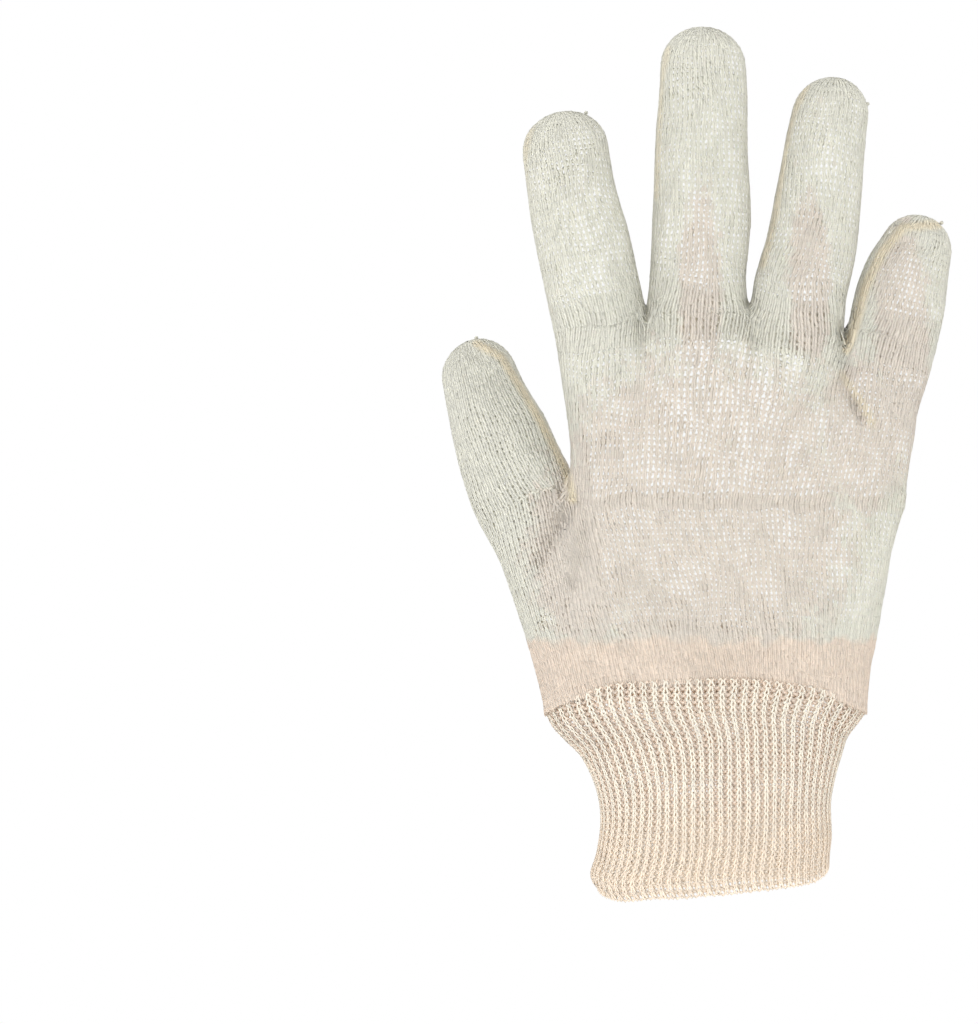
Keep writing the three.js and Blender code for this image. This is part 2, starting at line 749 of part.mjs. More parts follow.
// The cuff: outer points on the ribs' crests and valleys, inner points on a plain wall behind them.
// At the join its crests lie on the hand body's surface.
function cuffGeometry() {
  const outerCount = 2 * cuffRibs;
  const innerCount = cuffRibs;
  const rows = [{ along: 0 }, ...cuffSections];
  const hemHeight = (point) => {
    const side = Math.min(Math.abs(2 * point.x / cuffWidth), 1);
    return cuffSlant * point.x + hemLift * side ** hemLiftPower;
  };
  const rowStation = (row) => ({
    centre: new THREE.Vector3(row.centre * cuffWidth, 0, 0),
    across: new THREE.Vector3(1, 0, 0),
    through: new THREE.Vector3(0, 1, 0),
    half: row.width * cuffWidth / 2,
    deep: row.depth * cuffDepth / 2,
  });
  const ringAt = (row, count, inset, ribbed) => {
    const station = row.along > 0 ? rowStation(row) : joinStation;
    return Array.from({ length: count }, (_, i) => {
      const angle = Math.PI - 2 * Math.PI * i / count;
      const rim = superPoint(joinStation, angle);
      rim.z += joinRise(rim);
      const edge = settle(rim, upZ);
      const point = row.along > 0 ? superPoint(station, angle) : edge.clone();
      const facing = row.along > 0 ? facingOf(station, point) : edge.facing;
      const top = wristHeight(edge) - joinGap;
      const bottom = hemHeight(point);
      point.addScaledVector(facing, -inset - (ribbed && i % 2 ? ribHeight : 0));
      point.z = THREE.MathUtils.lerp(top, bottom, row.along);
      return point;
    });
  };
  const points = [];
  const triangles = [];
  const outer = rows.map((row) => ringAt(row, outerCount, 0, true));
  const inner = rows.map((row) => ringAt(row, innerCount, cuffWall, false));
  outer.forEach((ring) => points.push(...ring));
  inner.forEach((ring) => points.push(...ring));
  const o = (r, i) => r * outerCount + (i % outerCount);
  const n = (r, i) => rows.length * outerCount + r * innerCount + (i % innerCount);
  for (let r = 0; r + 1 < rows.length; r += 1) {
    for (let i = 0; i < outerCount; i += 1) {
      triangles.push([o(r, i), o(r + 1, i), o(r + 1, i + 1)], [o(r, i), o(r + 1, i + 1), o(r, i + 1)]);
    }
    for (let i = 0; i < innerCount; i += 1) {
      triangles.push([n(r, i), n(r + 1, i + 1), n(r + 1, i)], [n(r, i), n(r, i + 1), n(r + 1, i + 1)]);
    }
  }
  const last = rows.length - 1;
  for (let i = 0; i < innerCount; i += 1) {
    const [a, b, c] = [2 * i, 2 * i + 1, 2 * i + 2];
    triangles.push(
      [o(0, a), o(0, b), n(0, i)],
      [o(0, b), n(0, i + 1), n(0, i)],
      [o(0, b), o(0, c), n(0, i + 1)],
      [o(last, b), o(last, a), n(last, i)],
      [o(last, b), n(last, i), n(last, i + 1)],
      [o(last, c), o(last, b), n(last, i + 1)],
    );
  }
  return solidGeometry(points, triangles);
}

const knitMaterial = new THREE.MeshStandardMaterial({ color: 0xdcdacd, roughness: 0.95, metalness: 0 });
const cuffMaterial = new THREE.MeshStandardMaterial({ color: 0xe6d6c4, roughness: 0.95, metalness: 0 });

const glove = new THREE.Group();

function addPiece(name, geometry, material) {
  const mesh = new THREE.Mesh(geometry, material);
  mesh.name = name;
  glove.add(mesh);
}

addPiece('hand_body', handBodyShell().geometry(handWall), knitMaterial);
for (const digit of digits) addPiece(digit.name, digitShell(digit).geometry(handWall), knitMaterial);
addPiece('cuff', cuffGeometry(), cuffMaterial);

export default glove;
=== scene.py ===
"""Knit glove: every stitch of the jersey hand and the ribbed cuff as real yarn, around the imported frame.

Sizes are millimetres here, as in the part's own source, and metres in Blender.
"""

import math

import bpy
import numpy as np
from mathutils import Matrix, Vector


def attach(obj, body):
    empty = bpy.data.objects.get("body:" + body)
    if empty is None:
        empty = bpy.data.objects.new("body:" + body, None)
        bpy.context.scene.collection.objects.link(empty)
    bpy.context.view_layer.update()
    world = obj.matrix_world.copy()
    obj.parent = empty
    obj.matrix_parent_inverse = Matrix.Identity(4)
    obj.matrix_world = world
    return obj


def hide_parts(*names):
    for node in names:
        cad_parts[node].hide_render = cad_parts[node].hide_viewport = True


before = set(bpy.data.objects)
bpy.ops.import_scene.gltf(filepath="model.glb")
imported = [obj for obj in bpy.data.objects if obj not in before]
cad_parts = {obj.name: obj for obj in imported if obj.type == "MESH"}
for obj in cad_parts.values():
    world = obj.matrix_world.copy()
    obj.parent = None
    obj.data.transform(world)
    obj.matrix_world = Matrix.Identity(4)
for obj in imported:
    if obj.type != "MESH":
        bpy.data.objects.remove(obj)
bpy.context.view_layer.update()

MM = 0.001

# The hand's driving sizes, the same as the part's
CUFF_LENGTH = 49.8
CUFF_WIDTH = 66.0
CUFF_DEPTH = 42.0
PALM_LENGTH = 115.7
PALM_WIDTH = 94.0
PALM_DEPTH = 40.0
FINGER_WIDTH = 27.5
FINGER_DEPTH = 19.5
JOIN_ARCH = 8.8
JOIN_ARCH_POWER = 3
PALM_ARCH_SHARE = 0.5
JOIN_GAP = 0.3
STUB_HEIGHT = 5.0
CUFF_SLANT = 0.09
HEM_LIFT = 3.0
HEM_LIFT_POWER = 12
FINGER_BLEND = 0.5
BODY_BLEND = 2.6
ROUNDNESS = 2.3

# Yarn and stitches. Yarn: half its thickness, half its width in a closed and in an open stitch, loop depth.
COURSE_PITCH = 1.80
RIB_PITCH = 1.70
YARN = {"thick": 0.12, "closed": 0.58, "open": 0.30, "depth": 0.06}
RIB_YARN = {"thick": 0.15, "closed": 0.58, "open": 0.32, "depth": 0.12}
RIB_DEPTH = 0.22
HEM_ROOM = 0.2
PURL_REACH = 1.5
RIB_WALES = 136
FRONT_WALES = 17
SIDE_WALES = 8
YARN_SIDES = 3
SEED = 7
LIGHT_THROUGH = 0.50

# How far stitches stray: slow drift over many stitches and jitter of each point, in shares of a stitch.
# FRAY: how far points stand out by chance at the outline, and how much less they do in front.
DRIFT = 0.32
JITTER = 0.05
WIDTH_SPREAD = 0.10
WIDTH_LIMITS = (0.12, 0.5)
PILLOW_HEIGHT = 0.25
FRAY = (0.05, 0.035)
RIB_FRAY = 0.02
# Painted shade: how much its warmer, darker tint strays from stitch to stitch
PAINTED_SHADE_SPREAD = 0.12

# Palm side stitches are moved until they lie behind the near side's, as photographed.
# MOST_STEPS: the farthest, in wales and millimetres. STEP_FADES: lengths at a panel's foot and head over
# which the steps fade out. MEETING: from where in those fades, and how many courses from the ends, the two
# sides' gaps meet, and how open the knit stays elsewhere.
NO_FADE = 0.01
MOST_STEPS = (2.2, 5.5)
STEP_FADES = {"lower": (9, NO_FADE), "upper": (NO_FADE, 9), "finger": (9, 12)}
STEP_ROUNDS = 7
STEP_TRIAL = 0.5
STEP_LIMIT = 2
LEAST_AREA = 0.3
MEETING = {"from": 0.75, "over": 0.2, "least": 0.08, "ends": 0.6, "least_at_ends": 0.25, "slack": 0.5}
LOOSE_THUMB = 0.12
FACING_FULL = 0.3

# The grids: distance of a digit's rows, rows in its relaxed foot and in its tip, and rows of the others
ROW_PITCH = 3.0
FOOT_ROWS = 4
TIP_ROWS = 8
TIP_ANGLE = math.radians(84)
LOWER_ROWS = 17
UPPER_ROWS = 14
CUFF_ROWS = 25
# How many wales a stitch spans: least width of a wale, and wales
WALES_PER_STITCH = ((0.85, 1), (0.42, 2), (0, 5))

# One stitch as six points of the yarn. across: share of the stitch's width from its left edge.
# up: share of the course. out: share of the loop's depth, more than 0 towards the outside.
# spread: the part of across that an open stitch adds.
LOOP = {
    "across": (0.00, 0.37, 0.22, 0.50, 0.78, 0.63),
    "spread": (0.00, 0.10, 0.00, 0.00, 0.00, -0.10),
    "up": (0.86, 0.55, -0.55, -0.86, -0.55, 0.55),
    "out": (-1.0, 0.5, 1.0, -1.0, 1.0, 0.5),
}
# A stitch of the rib, whose legs stand further apart at the foot
RIB_LOOP = {
    "across": (0.00, 0.39, 0.06, 0.50, 0.94, 0.61),
    "up": (0.80, 0.50, -0.45, -0.80, -0.45, 0.50),
    "out": (-1.0, 0.8, 1.0, -1.0, 1.0, 0.8),
}
LOOP_POINTS = 6

# Places on the hand seen from the front: middle (x, z), reach (x, z), and how much.
# OPEN_PLACES: where the knit is stretched open. The second list: painted shade, where the yarn is drawn warmer
# and darker for the shade in the hand's middle.
OPEN_PLACES = (
    ((-57, 126), (12, 19), 0.5),
    ((7, 214), (7, 28), 0.45),
    ((-4, 184), (8, 20), 0.45),
    ((-35, 190), (8, 26), 0.5),
    ((33, 205), (7, 20), 0.5),
    ((57, 166), (6, 18), 0.6),
    ((-2, 112), (34, 40), 0.5),
    ((38, 110), (10, 30), 0.5),
)
PAINTED_SHADE_PLACES = (
    ((-3, 106), (42, 44), 1.0),
    ((-36, 96), (16, 26), 1.0),
    ((-4, 168), (6, 28), 1.0),
    ((27, 172), (6, 24), 1.0),
    ((53, 152), (8, 36), 1.0),
    ((42, 128), (12, 22), 1.0),
)
PLACE_EDGE = 1.3
PLACE_FADE = 0.6

# How open the knit is: 0 closed, 1 open. It closes at ridges, tips, the wrist band and the hand's sides.
BASE_OPENNESS = 0.76
MOST_OPEN = 1.2
OPENNESS_SPREAD = 0.30
SPREAD_RISE = 3
PATCH_SPREAD = 0.20
STREAK_SPREAD = 0.18
PLACE_GAIN = 0.7
RIDGE_CLOSING = 1.2
CLOSED_TIP = 5.0
CLOSED_TIP_SHARE = 0.4
BAND_TOP = 70.0
BAND_FADE = 4
SIDE_CLOSED = 0.15
SIDE_FADE = 0.35
RIB_STRAY = 0.25

# Lines on the back of the hand: points (x, z), half width and amount.
# RIDGES: yellowish closing lines that stand a little proud. CREASES: soft folds, their depth.
RIDGES = (
    (((-67, 155), (-60, 151), (-53, 140), (-47.5, 130), (-41.5, 118), (-39.6, 110)), 1.4, 0.8),
    (((-12.7, 238), (-14.7, 228), (-15.4, 214), (-16.3, 195)), 1.2, 0.5),
    (((27, 228), (22.6, 219), (20.4, 209), (17.4, 190), (13.8, 176)), 1.3, 0.6),
    (((64, 188), (54, 187), (48, 180), (43, 170), (40, 159), (37.6, 152)), 1.5, 0.8),
    (((-51.5, 216), (-53.8, 206), (-53, 190)), 1.5, 0.5),
    (((36, 145), (41, 138), (44.4, 131)), 1.5, 0.6),
)
CREASES = (
    (((-39, 109), (-44, 101), (-49, 93)), 1.8, 1.0),
    (((-36, 104), (-36, 95), (-39, 86)), 2.4, 0.5),
    (((36.5, 157), (36.8, 142), (41.3, 133)), 1.7, 1.1),
    (((-20.7, 161), (-20.5, 150)), 1.6, 0.7),
    (((10.5, 163), (10.5, 152)), 1.6, 0.7),
    (((-30, 70), (-10, 66), (12, 67)), 3.0, 0.35),
    (((50, 112), (44, 104), (40, 92)), 3.0, 0.5),
)
RIDGE_HEIGHT = 0.20
# Lines show where the surface faces the camera's side
LINE_FACING = 0.4
LINE_FACING_SLOPE = 1.5

# Small knots of yarn where a tube is closed: place (x, z) on the outline
NUBS = {
    "index_finger": (-36.2, 218.9),
    "ring_finger": (40.6, 221.6),
    "little_finger": (63.9, 186.8),
    "thumb": (-66.5, 153.4),
}
NUB_REACH = 0.45
NUB_FLATNESS = 0.7
NUB_DEPTH = 7.0
NUB_OPENNESS = 0.6
NUB_TILTS = (0.3, 1.3, 2.4)
NUB_LEAN = (0.3, 0.4)

# Section tables, the same as the part's: shares of the named sizes
BODY = {
    "along": (-0.10, 0.000, 0.151, 0.298, 0.445, 0.519, 0.555, 0.592, 0.700),
    "centre": (-0.022, -0.022, -0.010, 0.020, 0.050, 0.066, 0.079, 0.083, 0.093),
    "width": (0.965, 0.966, 0.965, 0.972, 0.973, 0.970, 1.000, 0.992, 1.022),
    "depth": (1.00, 1.00, 0.93, 0.87, 0.81, 0.78, 0.76, 0.74, 0.67),
}
BODY_CAP = 0.07
UPPER_BODY = {
    "along": (0.560, 0.700, 0.800, 0.860),
    "centre": (0.010, -0.003, -0.020, -0.034),
    "width": (0.840, 0.845, 0.835, 0.825),
    "depth": (0.70, 0.66, 0.61, 0.57),
}
UPPER_BODY_CAP = 0.07

FINGER = {"width": FINGER_WIDTH, "depth": FINGER_DEPTH, "roll": 0}
DIGITS = {
    "index_finger": {
        "length": 62.3, "root": (-0.344, 0.00, 0.946),
        "lean": -8.0, "stub": 1.0, **FINGER,
        "along": (-0.42, 0.00, 0.16, 0.37, 0.57, 0.81),
        "sway": (0.05, 0.010, -0.012, -0.033, -0.069, -0.076),
        "forward": (0.0, 0.0, 0.004, 0.018, 0.044, 0.090),
        "half": (0.84, 0.97, 0.99, 0.965, 0.925, 0.900),
        "deep": (0.92, 1.00, 1.00, 0.99, 0.96, 0.90),
    },
    "middle_finger": {
        "length": 82.0, "root": (-0.048, 0.00, 0.978),
        "lean": 1.2, "stub": 1.0, **FINGER,
        "along": (-0.36, 0.00, 0.13, 0.33, 0.54, 0.85),
        "sway": (0.0, 0.0, -0.013, 0.026, 0.029, 0.015),
        "forward": (0.0, 0.0, 0.003, 0.014, 0.036, 0.088),
        "half": (0.84, 1.02, 0.98, 1.015, 0.965, 0.890),
        "deep": (0.95, 1.03, 1.02, 1.02, 0.98, 0.90),
    },
    "ring_finger": {
        "length": 73.2, "root": (0.250, 0.00, 0.934),
        "lean": 8.2, "stub": 1.1, **FINGER,
        "along": (-0.38, 0.00, 0.16, 0.33, 0.51, 0.68, 0.84),
        "sway": (0.0, 0.0, -0.008, 0.037, 0.043, 0.037, 0.046),
        "forward": (0.0, 0.0, 0.004, 0.016, 0.038, 0.068, 0.102),
        "half": (0.84, 0.97, 0.955, 0.915, 0.895, 0.855, 0.800),
        "deep": (0.92, 1.00, 1.00, 0.97, 0.94, 0.91, 0.87),
    },
    "little_finger": {
        "length": 38.1, "root": (0.538, 0.03, 0.900),
        "lean": 12.2, "stub": 1.1, **FINGER,
        "along": (-0.87, -0.23, 0.08, 0.30, 0.53, 0.72),
        "sway": (-0.10, 0.0, -0.010, -0.008, 0.022, 0.066),
        "forward": (-0.012, 0.0, 0.024, 0.056, 0.106, 0.155),
        "half": (0.78, 0.89, 0.935, 0.935, 0.870, 0.760),
        "deep": (0.84, 0.92, 0.92, 0.90, 0.86, 0.80),
    },
    "thumb": {
        "length": 52.5, "width": 29.5, "depth": 21.5, "root": (-0.556, 0.26, 0.489),
        "lean": -17.5, "roll": -20, "stub": 2.4,
        "along": (-0.88, -0.53, -0.19, 0.12, 0.27, 0.44, 0.58, 0.79),
        "sway": (0.035, 0.055, 0.062, 0.000, -0.022, -0.032, -0.048, -0.045),
        "forward": (-0.120, -0.110, -0.055, 0.045, 0.105, 0.180, 0.245, 0.345),
        "half": (0.825, 0.875, 0.935, 1.035, 1.000, 0.960, 0.855, 0.740),
        "deep": (1.18, 1.18, 1.10, 1.00, 0.97, 0.94, 0.90, 0.82),
    },
}
FINGERS = ("index_finger", "middle_finger", "ring_finger", "little_finger")

WEBS = (
    {"at": (-0.202, 0.00, 0.945), "lean": -3, "depth": 0.66},
    {"at": (0.108, 0.00, 0.980), "lean": 4, "depth": 0.66},
    {"at": (0.395, 0.02, 0.900), "lean": 8, "depth": 0.66},
    {"at": (-0.430, 0.13, 0.510), "lean": -10, "depth": 0.75},
)
WEB_WIDTH = 0.40
WEB_REACH = 1.30
WEB_SPREAD = 1.75
WEB_SEARCH = 10.0

# The cuff from below its join, which has the body's own section
CUFF = {
    "along": (0.074, 0.159, 0.244, 0.415, 0.585, 0.800, 0.930, 1.000),
    "centre": (-0.036, -0.027, -0.005, 0.009, 0.011, 0.004, -0.014, 0.000),
    "width": (1.314, 1.212, 1.130, 1.036, 0.992, 1.012, 1.030, 1.000),
    "depth": (0.955, 0.935, 0.915, 0.90, 0.91, 0.95, 0.99, 0.97),
}

# How the hand's level function and its rings are worked out
BODY_STATIONS = 15
DIGIT_STATIONS = 19
WEB_STATIONS = 7
RING_ANGLES = 721
WEB_OFFSETS = 17
WEB_HEIGHTS = 121
ENDLESS = 1e12
LONGEST_FOOT = 1e9
LEVEL_STEP = 0.05
LEAST_STEEPNESS = 0.05
LONGEST_MOVE = 3

# Where the photograph was taken from: the palm side's gaps line up with the near side's as seen from here
CAMERA = np.array([-63.4, -1300.0, 106.4])
PX_PER_MM = 3.534
ORIGIN_PX = (713, 888)
SIZE_PX = (978, 1024)
DISTANCE = 1.30

# Soft lamps: name, place, size and power
LAMPS = (
    ("key", (-0.7, -1.1, 1.0), 1.2, 9.0),
    ("fill", (1.0, -0.9, 0.5), 1.5, 4.0),
    ("left", (-1.3, 0.0, 0.3), 1.2, 6.0),
    ("right", (1.3, 0.0, 0.3), 1.2, 4.0),
    ("back", (0.2, 1.2, 0.8), 1.5, 7.0),
    ("low", (-0.05, -0.5, -0.12), 0.3, 0.65),
)
LAMPS_AIM = (0, 0, 0.12)
FLOOR_REACH = 1.4
FLOOR_HEIGHT = -0.25

# Yarn's colours, the heights between which the low one ends, and what the cotton looks like. The second colour
# is painted shade: warmer, darker yarn in the hand's shaded middle and in the rib's sunken purl wales.
JERSEY_COLOURS = {
    "main": (246, 245, 235), "painted_shade": (243, 236, 226), "low": (251, 239, 225), "ridge": (251, 243, 222),
}
RIB_COLOURS = {
    "main": (255, 250, 239), "painted_shade": (252, 239, 225), "low": (254, 244, 230), "ridge": (253, 244, 230),
}
JERSEY_BAND = (0.069, 0.072)
RIB_BAND = (0.010, 0.030)
COTTON = {
    "patch_scale": 190.0, "patch_painted_shade": 0.45, "patch_rise": 0.004, "fibre_scale": 2600.0, "fibre_detail": 3.0,
    "painted_shade": (0.2, 0.8), "ridge": (0.15, 0.7), "tone": (0.96, 1.03), "streak": (0.90, 1.08),
    "roughness": 0.95, "sheen": 0.2, "sheen_roughness": 0.5, "specular": 0.2,
    "bump": 0.35, "bump_depth": 0.0001,
}
# Each ring of yarn has a strip of the UV map: the share left free below it, and its own
STRIP_MARGIN = 0.05
STRIP_SHARE = 0.9

random = np.random.default_rng(SEED)


def section(table, key, along):
    """A table's column at a share of its length, through its rows with a smooth curve."""
    x = np.array(table["along"])
    y = np.array(table[key], float)
    i = int(np.clip(np.searchsorted(x, along, side="right") - 1, 0, len(x) - 2))
    before, after = max(i - 1, 0), min(i + 2, len(x) - 1)
    span = x[i + 1] - x[i]
    s = float(np.clip((along - x[i]) / span, 0, 1))
    slope_from = (y[i + 1] - y[before]) / max(x[i + 1] - x[before], 1e-6)
    slope_to = (y[after] - y[i]) / max(x[after] - x[i], 1e-6)
    return (
        (2 * s**3 - 3 * s**2 + 1) * y[i]
        + (s**3 - 2 * s**2 + s) * span * slope_from
        + (3 * s**2 - 2 * s**3) * y[i + 1]
        + (s**3 - s**2) * span * slope_to
    )


def unit(v):
    return v / np.maximum(np.linalg.norm(v, axis=-1, keepdims=True), 1e-12)


class Station:
    """One section of a tube: centre, frame, half width and half depth."""

    def __init__(self, centre, across, through, half, deep):
        self.centre = np.array(centre, float)
        self.across = np.array(across, float)
        self.through = np.array(through, float)
        self.up = np.cross(self.across, self.through)
        self.half = half
        self.deep = deep

    def points(self, angles, scale=1.0):
        c, s = np.cos(angles), np.sin(angles)
        reach = scale / (np.abs(c) ** ROUNDNESS + np.abs(s) ** ROUNDNESS) ** (1 / ROUNDNESS)
        return (
            self.centre
            + np.outer(c * reach * self.half, self.across)
            - np.outer(s * reach * self.deep, self.through)
        )

    def even(self, count, lead, scale=1.0):
        """Points at even distances round the section, starting lead steps after its left end."""
        fine = np.linspace(math.pi, -math.pi, RING_ANGLES)
        points = self.points(fine, scale)
        lengths = np.concatenate([[0], np.cumsum(np.linalg.norm(np.diff(points, axis=0), axis=1))])
        wanted = lengths[-1] * (((np.arange(count) + lead) % count) / count)
        return self.points(np.interp(wanted, lengths, fine), scale)


class Tube:
    """Stations from foot to tip, with a rounded tip of height cap."""

    def __init__(self, stations, cap, foot):
        self.stations = stations
        for key in ("centre", "across", "through", "up", "half", "deep"):
            setattr(self, key, np.array([getattr(station, key) for station in stations]))
        self.cap = cap
        self.foot = foot

    def distance(self, points):
        step = np.diff(self.centre, axis=0)
        rel = points[:, None, :] - self.centre[None, :-1]
        share = np.clip(np.einsum("nsk,sk->ns", rel, step) / (step * step).sum(1), 0, 1)
        gap = rel - share[..., None] * step
        i = np.argmin((gap**2).sum(-1), axis=1)
        n = np.arange(len(points))
        s, offset = share[n, i], gap[n, i]

        def between(values, share):
            return values[i] * (1 - share) + values[i + 1] * share

        across, through = between(self.across, s[:, None]), between(self.through, s[:, None])
        half, deep = between(self.half, s), between(self.deep, s)
        at_tip = (i == len(step) - 1) & (s == 1)
        at_foot = (i == 0) & (s == 0)
        beyond = at_tip * np.maximum((offset * self.up[-1]).sum(1), 0) / self.cap
        below = at_foot * np.maximum(-(offset * self.up[0]).sum(1), 0) / self.foot
        u = np.abs((offset * across).sum(1)) / half
        v = np.abs((offset * through).sum(1)) / deep
        w = np.maximum(beyond, below)
        total = np.maximum(u**ROUNDNESS + v**ROUNDNESS + w**ROUNDNESS, 1e-9)
        shared = total ** (1 / ROUNDNESS - 1)
        end = np.where(beyond > below, self.cap, min(self.foot, LONGEST_FOOT))
        power = ROUNDNESS - 1
        slope = shared * np.sqrt((u**power / half) ** 2 + (v**power / deep) ** 2 + (w**power / end) ** 2)
        return (total ** (1 / ROUNDNESS) - 1) / np.maximum(slope, 0.5 / half)


def body_station(table, along):
    return Station(
        (section(table, "centre", along) * PALM_WIDTH, 0, CUFF_LENGTH + along * PALM_LENGTH),
        (1, 0, 0), (0, 1, 0),
        section(table, "width", along) * PALM_WIDTH / 2,
        section(table, "depth", along) * PALM_DEPTH / 2,
    )


def body_tube(table, cap):
    steps = np.linspace(table["along"][0], table["along"][-1], BODY_STATIONS)
    return Tube([body_station(table, a) for a in steps], cap * PALM_LENGTH, ENDLESS)


def turned(vector, axis, angle):
    """A vector turned about an axis."""
    c, s = math.cos(angle), math.sin(angle)
    return vector * c + np.cross(axis, vector) * s + axis * np.dot(axis, vector) * (1 - c)


def digit_station(digit, along):
    lean = math.radians(digit["lean"])
    nudge = 0.01
    rise = section(digit, "forward", along + nudge) - section(digit, "forward", along - nudge)
    chord = np.array([math.sin(lean), 0, math.cos(lean)])
    sideways = np.array([math.cos(lean), 0, -math.sin(lean)])
    up = unit(chord + np.array([0, rise / (2 * nudge), 0]))
    across = turned(sideways, up, math.radians(digit["roll"]))
    across = unit(across - up * np.dot(across, up))
    root = digit["root"]
    centre = np.array([
        root[0] * PALM_WIDTH,
        root[1] * PALM_DEPTH + section(digit, "forward", along) * digit["length"],
        CUFF_LENGTH + root[2] * PALM_LENGTH,
    ])
    centre += chord * along * digit["length"]
    centre += sideways * section(digit, "sway", along) * digit["width"]
    return Station(
        centre, across, np.cross(up, across),
        section(digit, "half", along) * digit["width"] / 2,
        section(digit, "deep", along) * digit["depth"] / 2,
    )


def digit_tube(digit):
    steps = np.linspace(digit["along"][0], digit["along"][-1], DIGIT_STATIONS)
    cap = (1 - digit["along"][-1]) * digit["length"]
    return Tube([digit_station(digit, a) for a in steps], cap, digit["width"] / 2)


def web_tube(web):
    lean = math.radians(web["lean"])
    up = np.array([math.sin(lean), 0, math.cos(lean)])
    across = np.array([math.cos(lean), 0, -math.sin(lean)])
    half = WEB_WIDTH * FINGER_WIDTH / 2
    deep = web["depth"] * FINGER_DEPTH / 2
    x, y, z = web["at"]
    top = np.array([x * PALM_WIDTH, y * PALM_DEPTH, CUFF_LENGTH + z * PALM_LENGTH])
    stations = []
    for down in np.linspace(1, 0, WEB_STATIONS):
        centre = top - up * (half / 2 + down * WEB_REACH * FINGER_DEPTH)
        stations.append(Station(centre, across, (0, 1, 0), half, deep * (1 + (WEB_SPREAD - 1) * down)))
    tube = Tube(stations, half / 2, ENDLESS)
    tube.top = top
    return tube


def soft_min(distances, blend):
    stacked = np.array(distances)
    least = stacked.min(0)
    return least - blend * np.log(np.exp((least - stacked) / blend).sum(0))


finger_tubes = [digit_tube(DIGITS[name]) for name in FINGERS]
thumb_tube = digit_tube(DIGITS["thumb"])
web_tubes = [web_tube(web) for web in WEBS]
body_tubes = [body_tube(BODY, BODY_CAP), body_tube(UPPER_BODY, UPPER_BODY_CAP), thumb_tube, *web_tubes]


def hand_level(points):
    """Level function of the whole hand: 0 on its outer surface, less inside."""
    fingers = soft_min([t.distance(points) for t in finger_tubes], FINGER_BLEND)
    body = soft_min([t.distance(points) for t in body_tubes], BODY_BLEND / 2)
    return soft_min([fingers, body], BODY_BLEND / 2)


def slope_of(points, level=None):
    level = hand_level(points) if level is None else level
    ahead = [hand_level(points + LEVEL_STEP * axis) for axis in np.eye(3)]
    return (np.array(ahead).T - level[:, None]) / LEVEL_STEP


def settle(points, upright=None, rounds=6):
    """Points moved onto the hand's surface, within one plane if its upright is given."""
    points = np.array(points, float)
    for _ in range(rounds):
        level = hand_level(points)
        slope = slope_of(points, level)
        if upright is not None:
            slope -= np.outer(slope @ upright, upright)
        steep = np.maximum((slope**2).sum(1), LEAST_STEEPNESS)
        points += slope * np.clip(-level / steep, -LONGEST_MOVE, LONGEST_MOVE)[:, None]
    return points


def landing(tube, sideways, through):
    """Where points let down along the web's line land on the surface."""
    up = tube.stations[0].up
    start = tube.top + np.stack([sideways, through, np.zeros_like(through)], -1)
    heights = np.linspace(WEB_SEARCH, -WEB_SEARCH, WEB_HEIGHTS)
    grid = start[:, None] + heights[None, :, None] * up
    inside = hand_level(grid.reshape(-1, 3)).reshape(len(start), -1) < 0
    return start + heights[np.argmax(inside, axis=1)][:, None] * up


def web_line(tube):
    """The lowest points of the web between two digits, from front to back."""
    deep = tube.deep[-1]
    through = np.linspace(-deep, deep, SIDE_WALES + 1)
    offsets = np.linspace(-1, 1, WEB_OFFSETS) * WEB_SEARCH / 3
    grid_t, grid_s = np.meshgrid(through, offsets, indexing="ij")
    landed = landing(tube, grid_s.ravel(), grid_t.ravel()).reshape(len(through), len(offsets), 3)
    lowest = landed[np.arange(len(through)), np.argmin(landed[..., 2], axis=1)]
    return settle(lowest, rounds=3)


def sides(ring, front):
    """Front, right, back and left stretches of a ring, corner to corner."""
    closed = np.concatenate([ring, ring[:1]])
    a, b, c = front, front + SIDE_WALES, 2 * front + SIDE_WALES
    return [closed[: a + 1].copy(), closed[a : b + 1].copy(), closed[b : c + 1].copy(), closed[c:].copy()]


def evened(line):
    """A line's points at even distances along it, on the surface."""
    lengths = np.concatenate([[0], np.cumsum(np.linalg.norm(np.diff(line, axis=0), axis=1))])
    wanted = np.linspace(0, lengths[-1], len(line))
    spaced = np.stack([np.interp(wanted, lengths, line[:, k]) for k in range(3)], -1)
    spaced[1:-1] = settle(spaced[1:-1], rounds=3)
    return spaced


def joined(parts):
    return np.concatenate([part[:-1] for part in parts])


def around(front):
    return 2 * (front + SIDE_WALES)


def digit_ring(digit, along):
    station = digit_station(digit, along)
    ring = station.even(around(FRONT_WALES), SIDE_WALES / 2)
    return settle(ring, station.up)


web_lines = [web_line(tube) for tube in web_tubes]
finger_roots = [sides(digit_ring(DIGITS[name], 0), FRONT_WALES) for name in FINGERS]
thumb_root = sides(digit_ring(DIGITS["thumb"], 0), FRONT_WALES)
FOUR_FRONT = 4 * FRONT_WALES
FIVE_FRONT = 5 * FRONT_WALES

for i, root in enumerate(finger_roots):
    if i > 0:
        root[0][0], root[2][-1] = web_lines[i - 1][0], web_lines[i - 1][-1]
        root[3] = web_lines[i - 1][::-1].copy()
    if i < 3:
        root[0][-1], root[2][0] = web_lines[i][0], web_lines[i][-1]
        root[1] = web_lines[i].copy()
    root[0], root[2] = evened(root[0]), evened(root[2])

knuckle_ring = joined([
    np.concatenate([finger_roots[0][0]] + [root[0][1:] for root in finger_roots[1:]]),
    finger_roots[3][1],
    np.concatenate([root[2][:-1] for root in finger_roots[::-1][:-1]] + [finger_roots[0][2]]),
    finger_roots[0][3],
])

